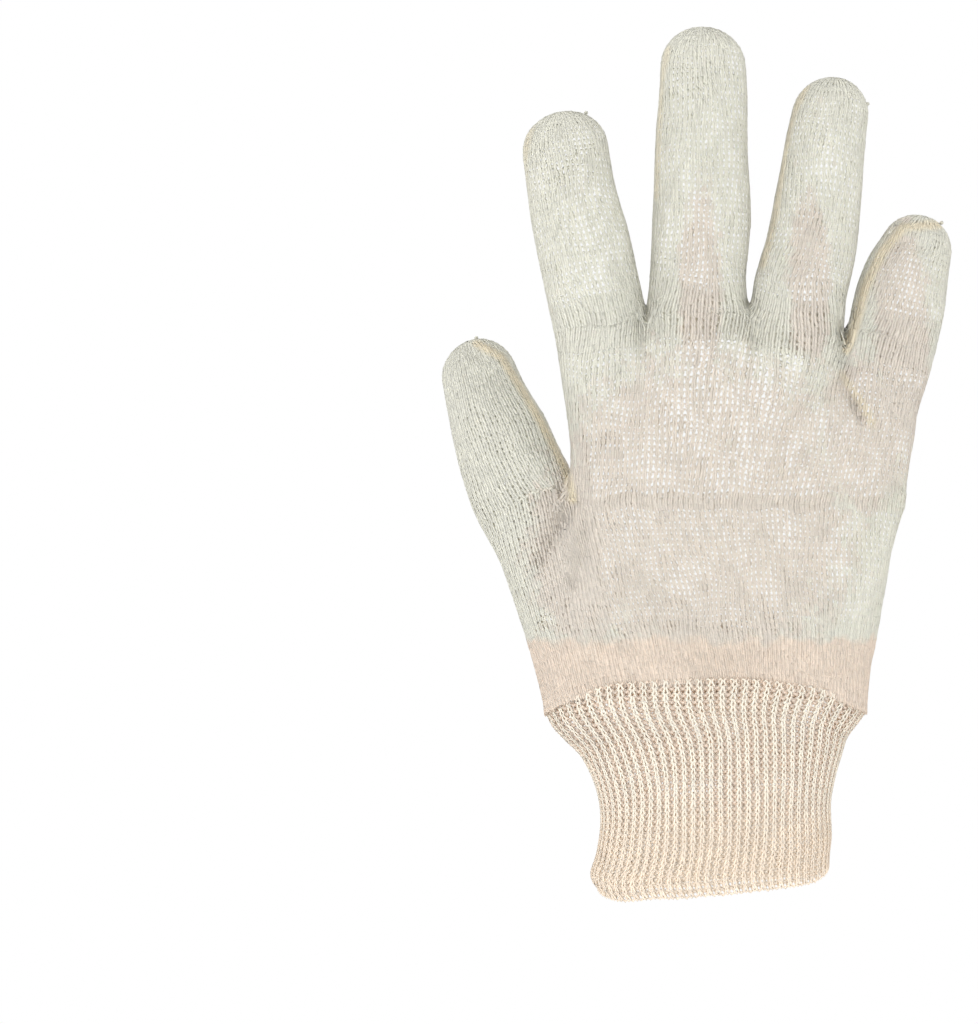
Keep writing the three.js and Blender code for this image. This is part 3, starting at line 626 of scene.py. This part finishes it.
thumb_height = web_tubes[3].top[2]
level_station = body_station(BODY, (thumb_height - CUFF_LENGTH) / PALM_LENGTH)
four_sides = sides(settle(level_station.even(around(FOUR_FRONT), SIDE_WALES / 2)), FOUR_FRONT)
thumb_web = web_lines[3]
four_sides[0][0], four_sides[2][-1], four_sides[3] = thumb_web[0], thumb_web[-1], thumb_web[::-1].copy()
thumb_root[0][-1], thumb_root[2][0], thumb_root[1] = thumb_web[0], thumb_web[-1], thumb_web.copy()
for stretch in (0, 2):
    four_sides[stretch] = evened(four_sides[stretch])
    thumb_root[stretch] = evened(thumb_root[stretch])
four_ring = joined(four_sides)
five_ring = joined([
    np.concatenate([thumb_root[0], four_sides[0][1:]]),
    four_sides[1],
    np.concatenate([four_sides[2], thumb_root[2][1:]]),
    thumb_root[3],
])

join_station = body_station(BODY, 0)


def join_rise(points):
    side = (points[:, 0] - join_station.centre[0]) / join_station.half
    share = np.clip(1 - np.abs(side) ** JOIN_ARCH_POWER, 0, 1)
    return JOIN_ARCH * share * np.where(points[:, 1] < 0, 1, PALM_ARCH_SHARE)


def wrist_points(count, lead):
    ring = join_station.even(count, lead)
    ring[:, 2] += join_rise(ring) + JOIN_GAP / 2
    return settle(ring, np.array([0, 0, 1.0]))


class Panel:
    """A knitted tube as a grid of points, rows up and columns round, one column to a wale."""

    def __init__(self, rows, facing=None, kind="lower"):
        self.rows = np.array(rows)
        self.tip_closed = kind in ("finger", "thumb")
        self.lined_up = kind in STEP_FADES
        self.fades = STEP_FADES.get(kind)
        self.facing = self.outward() if facing is None else facing
        steps = np.linalg.norm(np.diff(self.rows, axis=0), axis=2).mean(1)
        self.height = np.concatenate([[0], np.cumsum(steps)])
        self.mirror = self.rows.shape[1] - SIDE_WALES

    def outward(self):
        flat = self.rows.reshape(-1, 3)
        return unit(slope_of(flat)).reshape(self.rows.shape)

    def at(self, height, column):
        """Surface points and outward directions at heights and columns, smoothly between the grid's."""
        v = np.interp(height, self.height, np.arange(len(self.rows)))
        extra = height - np.clip(height, 0, self.height[-1])
        i, j = np.floor(v).astype(int), np.floor(column).astype(int)
        s, t = v - i, column - j
        last, count = len(self.rows) - 1, self.rows.shape[1]

        def weights(x):
            return (
                -0.5 * x + x**2 - 0.5 * x**3,
                1 - 2.5 * x**2 + 1.5 * x**3,
                0.5 * x + 2 * x**2 - 1.5 * x**3,
                -0.5 * x**2 + 0.5 * x**3,
            )

        point = np.zeros((len(v), 3))
        outward = np.zeros((len(v), 3))
        for a, wa in zip((-1, 0, 1, 2), weights(s)):
            row = np.clip(i + a, 0, last)
            for b, wb in zip((-1, 0, 1, 2), weights(t)):
                share = (wa * wb)[:, None]
                point += share * self.rows[row, (j + b) % count]
                outward += share * self.facing[row, (j + b) % count]
        rise = unit(self.rows[-1].mean(0) - self.rows[0].mean(0))
        if self.tip_closed:
            extra = np.minimum(extra, 0)
        return point + extra[:, None] * rise, unit(outward)

    def near_side(self, column):
        """The column of the near side that a palm side one lies behind, and -1 for those or 1."""
        column = column % self.rows.shape[1]
        palm = (column > (self.mirror / 2)) & (column < self.rows.shape[1] - SIDE_WALES / 2)
        return np.where(palm, self.mirror - column, column), np.where(palm, -1.0, 1.0)

    def behind(self, rise, column):
        """Steps in column and height that bring palm side points behind the near side's, as seen."""
        near, _ = self.near_side(column)
        target = seen(self.at(rise, near)[0])
        steps = np.zeros((len(column), 2))

        def shown(more_columns=0.0, more_rise=0.0):
            return seen(self.at(rise + steps[:, 1] + more_rise, column + steps[:, 0] + more_columns)[0])

        def limited(step):
            return np.clip(step, -STEP_LIMIT, STEP_LIMIT)

        for _ in range(STEP_ROUNDS):
            here = shown()
            by_column = (shown(more_columns=STEP_TRIAL) - here) / STEP_TRIAL
            by_rise = (shown(more_rise=STEP_TRIAL) - here) / STEP_TRIAL
            error = target - here
            area = by_column[:, 0] * by_rise[:, 1] - by_column[:, 1] * by_rise[:, 0]
            area = np.where(np.abs(area) < LEAST_AREA, np.copysign(LEAST_AREA, area), area)
            steps[:, 0] += limited((error[:, 0] * by_rise[:, 1] - error[:, 1] * by_rise[:, 0]) / area)
            steps[:, 1] += limited((by_column[:, 0] * error[:, 1] - by_column[:, 1] * error[:, 0]) / area)
        return steps

    def met(self, rise, column):
        """How far both sides' gaps can be brought into line at near side places, 0 to 1."""
        if not self.lined_up:
            return LOOSE_THUMB
        over = (np.abs(self.behind(rise, self.mirror - column)) - MOST_STEPS).max(1)
        inside = np.minimum(rise, self.height[-1] - rise) / COURSE_PITCH
        faded = (self.away_from_ends(rise) - MEETING["from"]) / MEETING["over"]
        fit = np.clip(faded, MEETING["least"], 1)
        fit = fit * np.clip(inside - MEETING["ends"], MEETING["least_at_ends"], 1)
        return np.clip(1 - over / MEETING["slack"], 0, 1) * fit

    def away_from_ends(self, rise):
        """0 at the ends where the steps fade out, and 1 further inside."""
        foot, head = self.fades
        share = np.clip(np.minimum(rise / foot, (self.height[-1] - rise) / head), 0, 1)
        return share * share * (3 - 2 * share)


def seen(points):
    """Where points appear from the camera, in millimetres on the plane through the origin."""
    near = -CAMERA[1] / (points[:, 1] - CAMERA[1])
    return CAMERA[[0, 2]] + (points[:, [0, 2]] - CAMERA[[0, 2]]) * near[:, None]


def relaxed(rows, passes=10):
    """Rows between a fixed first and last one, spread evenly over the surface."""
    rows = np.array(rows)
    for _ in range(passes):
        middle = (rows[:-2] + rows[2:] + np.roll(rows, 1, 1)[1:-1] + np.roll(rows, -1, 1)[1:-1]) / 4
        rows[1:-1] = settle(middle.reshape(-1, 3), rounds=1).reshape(middle.shape)
    return rows


def rows_between(lower, upper, count):
    mixed = [lower + (upper - lower) * k / count for k in range(count + 1)]
    inner = settle(np.concatenate(mixed[1:-1])).reshape(count - 1, -1, 3)
    return relaxed(np.concatenate([lower[None], inner, upper[None]]))


def digit_panel(name, root):
    """A digit's panel from its root ring to its tip."""
    digit = DIGITS[name]
    last = digit["along"][-1]
    tube = thumb_tube if name == "thumb" else finger_tubes[FINGERS.index(name)]
    rows = [joined(root)]
    for along in np.linspace(0, last, int(digit["length"] * last / ROW_PITCH))[1:]:
        rows.append(digit_ring(digit, along))
    rows[:FOOT_ROWS + 1] = rows_between(rows[0], rows[FOOT_ROWS], FOOT_ROWS)
    end = digit_station(digit, last)
    for angle in (*np.linspace(0, math.pi / 2, TIP_ROWS)[1:-1], TIP_ANGLE):
        station = Station(
            end.centre + end.up * math.sin(angle) * tube.cap, end.across, end.through, end.half, end.deep
        )
        rows.append(station.even(around(FRONT_WALES), SIDE_WALES / 2, math.cos(angle)))
    return Panel(rows, kind="thumb" if name == "thumb" else "finger")


class Waves:
    """Slow random waves over the photograph's plane, from wavelengths across and up in millimetres."""

    def __init__(self, across, up, count=9):
        self.across = 2 * math.pi / random.uniform(*across, count) * random.choice([-1, 1], count)
        self.up = 2 * math.pi / random.uniform(*up, count)
        self.phase = random.uniform(0, 2 * math.pi, count)

    def at(self, places):
        turns = np.outer(places[:, 0], self.across) + np.outer(places[:, 1], self.up) + self.phase
        return np.sin(turns).sum(1) / math.sqrt(len(self.phase))


sideways_drift = Waves((14, 50), (16, 60))
upwards_drift = Waves((14, 50), (16, 60))
loose_patches = Waves((9, 30), (9, 30))
loose_streaks = Waves((3.5, 9), (50, 200))
pillows = Waves((24, 80), (24, 80))


def places_share(places, points):
    """How far points lie in any of some oval places, 0 outside to the place's amount inside."""
    found = np.zeros(len(points))
    for (x, z), (reach_x, reach_z), amount in places:
        away = np.hypot((points[:, 0] - x) / reach_x, (points[:, 2] - z) / reach_z)
        found = np.maximum(found, amount * np.clip((PLACE_EDGE - away) / PLACE_FADE, 0, 1))
    return found


def lines_share(lines, points, outward):
    """How close points lie to any of some lines on the back of the hand, 0 far off to the line's amount."""
    flat = points[:, [0, 2]]
    found = np.zeros(len(points))
    for path, reach, amount in lines:
        path = np.array(path, float)
        step = np.diff(path, axis=0)
        rel = flat[:, None] - path[None, :-1]
        share = np.clip((rel * step).sum(-1) / (step * step).sum(-1), 0, 1)
        away = np.linalg.norm(rel - share[..., None] * step, axis=-1).min(1)
        found = np.maximum(found, amount * np.exp(-((away / reach) ** 2)))
    return found * np.clip(LINE_FACING - outward[:, 1] * LINE_FACING_SLOPE, 0, 1)


def course_of(points, outward, yarn, opened):
    """A ring of yarn ready to be meshed, with the marks that its colour follows."""
    stitches = len(points) // LOOP_POINTS
    half = yarn["closed"] + (yarn["open"] - yarn["closed"]) * opened
    half = half * np.repeat(1 + random.normal(0, WIDTH_SPREAD, stitches), LOOP_POINTS)
    stray = np.repeat(random.normal(0, PAINTED_SHADE_SPREAD, stitches), LOOP_POINTS)
    # Painted shade: a warmer, darker tint in the listed shaded places, straying from stitch to stitch
    painted_shade = places_share(PAINTED_SHADE_PLACES, points) + stray
    return {
        "points": points,
        "outward": outward,
        "half": np.clip(half, *WIDTH_LIMITS),
        "thick": yarn["thick"],
        "marks": {
            "painted_shade": painted_shade,
            "ridge": lines_share(RIDGES, points, outward),
            "tone": np.repeat(random.uniform(0, 1, stitches), LOOP_POINTS),
        },
    }


def openness_at(panel, rise, column):
    """How open the knit is, 0 to 1, at places of a panel."""
    point, outward = panel.at(rise, column)
    places = seen(point)
    openness = BASE_OPENNESS + PLACE_GAIN * places_share(OPEN_PLACES, point)
    openness += PATCH_SPREAD * loose_patches.at(places) + STREAK_SPREAD * loose_streaks.at(places)
    openness -= RIDGE_CLOSING * lines_share(RIDGES, point, outward)
    above_band = np.clip((point[:, 2] - BAND_TOP) / BAND_FADE, 0, 1)
    openness *= panel.met(rise, panel.near_side(column)[0]) * above_band
    openness *= np.clip((np.abs(outward[:, 1]) - SIDE_CLOSED) / SIDE_FADE, 0, 1)
    if panel.tip_closed:
        openness *= np.clip((panel.height[-1] - rise) / CLOSED_TIP - CLOSED_TIP_SHARE, 0, 1)
    return openness


def loops_of(loop, count, scale):
    """The points of a course's loops: whole stitches along it, and what the loop's points say."""
    along = np.repeat(np.arange(count), LOOP_POINTS)
    shape = {key: np.tile(values, count) for key, values in loop.items()}
    return along, shape, (along + shape["across"]) * scale


def jersey_course(panel, height, every):
    """One course of plain stitches as a ring of yarn. Near a tip, a stitch spans every so many wales."""
    count = panel.rows.shape[1] // every
    along, shape, column = loops_of(LOOP, count, every)
    middle = (np.arange(count) + 0.5) * every
    opened = openness_at(panel, np.full(count, height), middle)
    opened += random.normal(0, OPENNESS_SPREAD, count) * np.clip(SPREAD_RISE * opened, 0, 1)
    opened = np.repeat(np.clip(opened, 0, MOST_OPEN), LOOP_POINTS)
    column = column + shape["spread"] * opened * every
    rise = height + shape["up"] * COURSE_PITCH
    _, side = panel.near_side(column)
    facing = np.clip(np.abs(panel.at(rise, column)[1][:, 1]) / FACING_FULL, 0, 1)
    if panel.lined_up:
        steps = np.clip(panel.behind(rise, column), np.negative(MOST_STEPS), MOST_STEPS)
        steps *= (facing**2 * (side < 0) * panel.away_from_ends(rise))[:, None]
        column, rise = column + steps[:, 0], rise + steps[:, 1]
    else:
        side = np.ones(len(column))
    places = seen(panel.at(rise, column)[0])
    column = column + DRIFT * sideways_drift.at(places) * facing * side
    rise = rise + DRIFT * upwards_drift.at(places) * COURSE_PITCH
    column = column + random.normal(0, JITTER, len(column))
    rise = rise + random.normal(0, JITTER * COURSE_PITCH, len(rise))
    point, outward = panel.at(rise, column)
    out = shape["out"] * YARN["depth"] - YARN["depth"] - YARN["thick"]
    out = out - lines_share(CREASES, point, outward)
    out = out + RIDGE_HEIGHT * lines_share(RIDGES, point, outward)
    fray = random.normal(0, 1, len(out)) * (FRAY[0] - FRAY[1] * facing)
    out = out + PILLOW_HEIGHT * pillows.at(places) + fray
    return course_of(point + outward * out[:, None], outward, YARN, opened)


def rib_course(panel, height):
    """One course of the rib: every other wale lies back and shows the backs of its loops."""
    along, shape, column = loops_of(RIB_LOOP, RIB_WALES, panel.rows.shape[1] / RIB_WALES)
    purl = along % 2 == 1
    swing = (shape["across"] - 0.5) * (PURL_REACH - 1) * (np.abs(shape["across"] - 0.5) < 0.5)
    column = column + np.where(purl, swing, 0) * panel.rows.shape[1] / RIB_WALES
    rise = height + shape["up"] * RIB_PITCH
    places = seen(panel.at(rise, column)[0])
    column = column + RIB_STRAY * sideways_drift.at(places) + random.normal(0, JITTER, len(column))
    rise = rise + RIB_STRAY * upwards_drift.at(places) + random.normal(0, JITTER, len(rise))
    point, outward = panel.at(rise, column)
    knit = np.abs(np.cos(math.pi * (along + shape["across"] - 0.5)))
    front = ~purl
    face = np.where(front, 1.0, -1.0)
    out = shape["out"] * RIB_YARN["depth"] * face + RIB_DEPTH * (face * knit - 1) / 2
    out = out - RIB_YARN["depth"] - RIB_YARN["thick"] + random.normal(0, RIB_FRAY, len(out))
    course = course_of(point + outward * out[:, None], outward, RIB_YARN, front.astype(float))
    # Painted shade: the sunken purl wales get the warmer, darker tint
    course["marks"]["painted_shade"] = np.where(front, 0.0, 1.0)
    return course


def placed(name, data):
    """A new object in the scene."""
    item = bpy.data.objects.new(name, data)
    bpy.context.collection.objects.link(item)
    return item


def ring_faces(count, row, rows, start):
    """Quads of one closed ring of yarn, and their UVs in the row's own strip."""
    i = np.arange(count)[:, None]
    side = np.arange(YARN_SIDES)[None, :]
    i2, side2 = (i + 1) % count, (side + 1) % YARN_SIDES
    quad = np.stack([
        i * YARN_SIDES + side, i2 * YARN_SIDES + side, i2 * YARN_SIDES + side2, i * YARN_SIDES + side2
    ], -1)
    flat = np.zeros((count, YARN_SIDES))
    left, right = i / count + flat, (i + 1) / count + flat
    low = (row + STRIP_MARGIN + STRIP_SHARE * side / YARN_SIDES) / rows + flat
    high = (row + STRIP_MARGIN + STRIP_SHARE * (side + 1) / YARN_SIDES) / rows + flat
    corners = [(left, low), (right, low), (right, high), (left, high)]
    uv = np.stack([np.stack(corner, -1) for corner in corners], 2)
    return quad.reshape(-1, 4) + start, uv.reshape(-1, 2)


def yarn_mesh(name, courses):
    """Closed rings of yarn as one mesh."""
    vertices, faces, uvs = [], [], []
    marks = {key: [] for key in courses[0]["marks"]}
    start = 0
    turn = (np.arange(YARN_SIDES) + 0.5) * 2 * math.pi / YARN_SIDES
    for row, course in enumerate(courses):
        points, outward = course["points"], course["outward"]
        count = len(points)
        tangent = unit(np.roll(points, -1, 0) - np.roll(points, 1, 0))
        e1 = unit(outward - tangent * (outward * tangent).sum(1)[:, None])
        e2 = np.cross(tangent, e1)
        ring = points[:, None] + (
            course["thick"] * np.cos(turn)[None, :, None] * e1[:, None]
            + course["half"][:, None, None] * np.sin(turn)[None, :, None] * e2[:, None]
        )
        vertices.append(ring.reshape(-1, 3))
        quads, uv = ring_faces(count, row, len(courses), start)
        faces.append(quads)
        uvs.append(uv)
        for key, values in course["marks"].items():
            marks[key].append(np.repeat(values, YARN_SIDES))
        start += count * YARN_SIDES
    vertices = np.concatenate(vertices) * MM
    faces = np.concatenate(faces)
    mesh = bpy.data.meshes.new(name)
    mesh.vertices.add(len(vertices))
    mesh.vertices.foreach_set("co", vertices.ravel())
    mesh.loops.add(faces.size)
    mesh.loops.foreach_set("vertex_index", faces.ravel())
    mesh.polygons.add(len(faces))
    mesh.polygons.foreach_set("loop_start", np.arange(0, faces.size, 4))
    mesh.polygons.foreach_set("use_smooth", np.ones(len(faces), bool))
    layer = mesh.uv_layers.new(name="UVMap")
    layer.data.foreach_set("uv", np.concatenate(uvs).ravel())
    for key, values in marks.items():
        attribute = mesh.attributes.new(key, "FLOAT", "POINT")
        attribute.data.foreach_set("value", np.concatenate(values))
    mesh.update(calc_edges=True)
    return placed(name, mesh)


def nub_rings(name):
    """A small knot of yarn: three crossed loops on the outline."""
    x, z = NUBS[name]
    depth = thumb_tube.centre[-1][1] if name == "thumb" else NUB_DEPTH
    middle = settle(np.array([[x, depth, z]]))[0]
    rings = []
    angles = np.linspace(0, 2 * math.pi, 2 * LOOP_POINTS, endpoint=False)
    for tilt in NUB_TILTS:
        a = np.array([math.cos(tilt), 0, math.sin(tilt)])
        b = unit(np.array([NUB_LEAN[0] * math.sin(tilt), 1, NUB_LEAN[1] * math.cos(tilt)]))
        circle = np.outer(np.cos(angles) * NUB_REACH, a)
        circle = circle + np.outer(np.sin(angles) * NUB_REACH * NUB_FLATNESS, b)
        opened = np.full(len(angles), NUB_OPENNESS)
        rings.append(course_of(middle + circle, unit(circle), YARN, opened))
    return rings


def spread_heights(low, high, pitch):
    """Even course heights between two levels."""
    count = max(round((high - low) / pitch), 1)
    return low + (np.arange(count) + 0.5) * (high - low) / count


def jersey_courses(panel, low, high):
    """Jersey between two heights of a panel, from one even run of courses."""
    count = panel.rows.shape[1]
    girths = np.linalg.norm(np.diff(panel.rows, axis=1, append=panel.rows[:, :1]), axis=2).sum(1)
    courses = []
    for height in spread_heights(0, panel.height[-1], COURSE_PITCH):
        if not low <= height < high:
            continue
        girth = np.interp(height, panel.height, girths) / count
        every = next(wales for least, wales in WALES_PER_STITCH if girth > least)
        courses.append(jersey_course(panel, height, every))
    return courses


def cuff_panel():
    """The cuff's grid, from the hem up to the join."""
    wales = around(FIVE_FRONT)
    edge = wrist_points(wales, 0)
    top = edge[:, 2] - JOIN_GAP
    join = {
        "along": 0.0,
        "centre": join_station.centre[0] / CUFF_WIDTH,
        "width": 2 * join_station.half / CUFF_WIDTH,
        "depth": 2 * join_station.deep / CUFF_DEPTH,
    }
    table = {key: (join[key], *values) for key, values in CUFF.items()}
    rows, facing = [], []
    for along in np.linspace(1, 0, CUFF_ROWS):
        station = Station(
            (section(table, "centre", along) * CUFF_WIDTH, 0, 0), (1, 0, 0), (0, 1, 0),
            section(table, "width", along) * CUFF_WIDTH / 2,
            section(table, "depth", along) * CUFF_DEPTH / 2,
        )
        ring = station.even(wales, 0)
        side = np.minimum(np.abs(2 * ring[:, 0] / CUFF_WIDTH), 1)
        bottom = CUFF_SLANT * ring[:, 0] + HEM_LIFT * side**HEM_LIFT_POWER
        ring[:, 2] = top + (bottom - top) * along
        x = (ring[:, 0] - station.centre[0]) / station.half
        y = ring[:, 1] / station.deep
        power = ROUNDNESS - 1
        out = np.stack([
            np.sign(x) * np.abs(x) ** power / station.half,
            np.sign(y) * np.abs(y) ** power / station.deep,
            0 * x,
        ], -1)
        rows.append(ring)
        facing.append(unit(out))
    return Panel(rows, np.array(facing))


def cuff_courses(panel):
    return [
        rib_course(panel, height)
        for height in spread_heights(HEM_ROOM, panel.height[-1] + RIB_PITCH / 2, RIB_PITCH)
    ]


def node_tree(material):
    material.use_nodes = True
    tree = material.node_tree
    tree.nodes.clear()
    return tree


def feed(tree, socket, value):
    """Links a socket to another one, or sets it to a constant."""
    if hasattr(value, "is_linked"):
        tree.links.new(value, socket)
    else:
        socket.default_value = value


def add(tree, kind, **inputs):
    """A new node, its inputs fed by name, with _ for each space."""
    node = tree.nodes.new(kind)
    for name, value in inputs.items():
        feed(tree, node.inputs[name.replace("_", " ")], value)
    return node


def srgb(r, g, b):
    """Linear colour from an sRGB one in 0 to 255."""
    def linear(c):
        c = c / 255
        return c / 12.92 if c <= 0.04045 else ((c + 0.055) / 1.055) ** 2.4
    return (linear(r), linear(g), linear(b), 1.0)


def mixed_colour(tree, factor, first, second, kind="MIX"):
    mix = tree.nodes.new("ShaderNodeMix")
    mix.data_type = "RGBA"
    mix.blend_type = kind
    for number, value in ((0, factor), (6, first), (7, second)):
        feed(tree, mix.inputs[number], value)
    return mix.outputs[2]


def mark(tree, name):
    """A mark that the mesh carries, as a number."""
    node = tree.nodes.new("ShaderNodeAttribute")
    node.attribute_name = name
    return node.outputs["Fac"]


def ranged(tree, value, low, high, to_low=0.0, to_high=1.0, smooth=False):
    node = add(
        tree, "ShaderNodeMapRange", Value=value, From_Min=low, From_Max=high, To_Min=to_low, To_Max=to_high
    )
    node.interpolation_type = "SMOOTHSTEP" if smooth else "LINEAR"
    return node.outputs["Result"]


def noise(tree, place, scale, detail=2.0):
    return add(tree, "ShaderNodeTexNoise", Vector=place, Scale=scale, Detail=detail).outputs["Fac"]


def mathed(tree, kind, first, second):
    node = tree.nodes.new("ShaderNodeMath")
    node.operation = kind
    for socket, value in zip(node.inputs, (first, second)):
        feed(tree, socket, value)
    return node.outputs[0]


def yarn_material(name, colours, band):
    """Soft cotton yarn. colours: main, a warmer darker one for painted shade, ridge and low ones. band:
    heights between which low ends.
    """
    colours = {key: srgb(*colour) for key, colour in colours.items()}
    material = bpy.data.materials.new(name)
    tree = node_tree(material)
    place = add(tree, "ShaderNodeTexCoord").outputs["Object"]
    patches = noise(tree, place, COTTON["patch_scale"])
    fibres = noise(tree, place, COTTON["fibre_scale"], COTTON["fibre_detail"])
    height = add(tree, "ShaderNodeSeparateXYZ", Vector=place).outputs["Z"]
    # Painted shade: the warmer, darker tint, its edge broken by noise patches
    patchy = ranged(tree, patches, 0, 1, -COTTON["patch_painted_shade"], COTTON["patch_painted_shade"])
    uneven = mathed(tree, "ADD", mark(tree, "painted_shade"), patchy)
    painted_shade = ranged(tree, uneven, *COTTON["painted_shade"], smooth=True)
    colour = mixed_colour(tree, painted_shade, colours["main"], colours["painted_shade"])
    wavy = ranged(tree, patches, 0, 1, -COTTON["patch_rise"], COTTON["patch_rise"])
    low = ranged(tree, mathed(tree, "ADD", height, wavy), band[1], band[0], smooth=True)
    colour = mixed_colour(tree, low, colour, colours["low"])
    ridge = ranged(tree, mark(tree, "ridge"), *COTTON["ridge"])
    colour = mixed_colour(tree, ridge, colour, colours["ridge"])
    tone = ranged(tree, mark(tree, "tone"), 0, 1, *COTTON["tone"])
    streak = ranged(tree, fibres, 0, 1, *COTTON["streak"])
    colour = mixed_colour(tree, 1.0, colour, mathed(tree, "MULTIPLY", tone, streak), "MULTIPLY")
    bump = add(
        tree, "ShaderNodeBump", Height=fibres, Strength=COTTON["bump"], Distance=COTTON["bump_depth"]
    )
    shader = add(
        tree, "ShaderNodeBsdfPrincipled", Base_Color=colour, Normal=bump.outputs["Normal"],
        Roughness=COTTON["roughness"], Sheen_Weight=COTTON["sheen"],
        Sheen_Roughness=COTTON["sheen_roughness"], Specular_IOR_Level=COTTON["specular"],
    )
    glow = add(tree, "ShaderNodeBsdfTranslucent", Color=colour)
    mix = add(tree, "ShaderNodeMixShader")
    for socket, value in zip(mix.inputs, (LIGHT_THROUGH, shader.outputs["BSDF"], glow.outputs["BSDF"])):
        feed(tree, socket, value)
    add(tree, "ShaderNodeOutputMaterial", Surface=mix.outputs[0])
    return material


jersey = yarn_material("jersey_yarn", JERSEY_COLOURS, JERSEY_BAND)
ribbed = yarn_material("rib_yarn", RIB_COLOURS, RIB_BAND)


def finish_piece(piece, material, node):
    piece.data.materials.append(material)
    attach(piece, "root")
    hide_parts(node)


wrist_ring = wrist_points(around(FIVE_FRONT), SIDE_WALES / 2)
lower = Panel(rows_between(wrist_ring, five_ring, LOWER_ROWS))
upper = Panel(rows_between(four_ring, knuckle_ring, UPPER_ROWS), kind="upper")

bands = {
    "palm_knit_low": (lower, 0.0, 0.5),
    "palm_knit_middle": (lower, 0.5, 1.0),
    "palm_knit_high": (upper, 0.0, 1.0),
}
for name, (panel, low, high) in bands.items():
    top = panel.height[-1]
    piece = yarn_mesh(name, jersey_courses(panel, low * top, high * top))
    finish_piece(piece, jersey, "hand_body")

roots = dict(zip((*FINGERS, "thumb"), (*finger_roots, thumb_root)))
stub_courses = []
for name, root in roots.items():
    panel = digit_panel(name, root)
    stub = DIGITS[name]["stub"] * STUB_HEIGHT
    stub_courses += jersey_courses(panel, 0, stub)
    rings = jersey_courses(panel, stub, panel.height[-1])
    if name in NUBS:
        rings += nub_rings(name)
    piece = yarn_mesh(f"{name}_knit", rings)
    finish_piece(piece, jersey, name)
piece = yarn_mesh("digit_roots_knit", stub_courses)
finish_piece(piece, jersey, "hand_body")

cuff_rings = cuff_courses(cuff_panel())
half_way = len(cuff_rings) // 2
for name, rings in (("cuff_knit_low", cuff_rings[:half_way]), ("cuff_knit_high", cuff_rings[half_way:])):
    finish_piece(yarn_mesh(name, rings), ribbed, "cuff")


def camera_and_lights():
    """The camera at the photograph's place, and soft light from all round."""
    x = (SIZE_PX[0] / 2 - ORIGIN_PX[0]) / PX_PER_MM * MM
    z = (ORIGIN_PX[1] - SIZE_PX[1] / 2) / PX_PER_MM * MM
    camera = bpy.data.cameras.new("camera")
    camera.sensor_fit = "VERTICAL"
    camera.angle_y = 2 * math.atan(SIZE_PX[1] / PX_PER_MM * MM / 2 / DISTANCE)
    camera.clip_end = 20
    holder = placed("camera", camera)
    holder.location = (x, -DISTANCE, z)
    holder.rotation_euler = (math.pi / 2, 0, 0)
    bpy.context.scene.camera = holder
    for name, place, size, power in LAMPS:
        light = bpy.data.lights.new(name, "AREA")
        light.size = size
        light.energy = power
        lamp = placed(name, light)
        lamp.location = place
        aim = Vector(LAMPS_AIM) - Vector(place)
        lamp.rotation_euler = aim.to_track_quat("-Z", "Y").to_euler()
    world_light()
    bpy.context.scene.view_settings.view_transform = "Standard"


def world_light():
    """Soft white light from all round."""
    world = bpy.data.worlds.new("world")
    tree = node_tree(world)
    soft = add(tree, "ShaderNodeBackground", Color=(1, 1, 1, 1), Strength=1.0)
    add(tree, "ShaderNodeOutputWorld", Surface=soft.outputs[0])
    bpy.context.scene.world = world


def floor():
    """A plain pale floor under the cuff."""
    mesh = bpy.data.meshes.new("floor")
    square = ((-1, -1), (1, -1), (1, 1), (-1, 1))
    corners = [(x * FLOOR_REACH, y * FLOOR_REACH, FLOOR_HEIGHT) for x, y in square]
    mesh.from_pydata(corners, [], [(0, 1, 2, 3)])
    material = bpy.data.materials.new("floor_paint")
    tree = node_tree(material)
    grain = add(tree, "ShaderNodeTexNoise", Scale=6.0, Detail=2.0)
    colour = mixed_colour(tree, grain.outputs["Fac"], (0.90, 0.90, 0.90, 1), (0.93, 0.93, 0.93, 1))
    shader = add(tree, "ShaderNodeBsdfPrincipled", Base_Color=colour, Roughness=0.9)
    add(tree, "ShaderNodeOutputMaterial", Surface=shader.outputs["BSDF"])
    mesh.materials.append(material)
    placed("floor", mesh)


camera_and_lights()
floor()
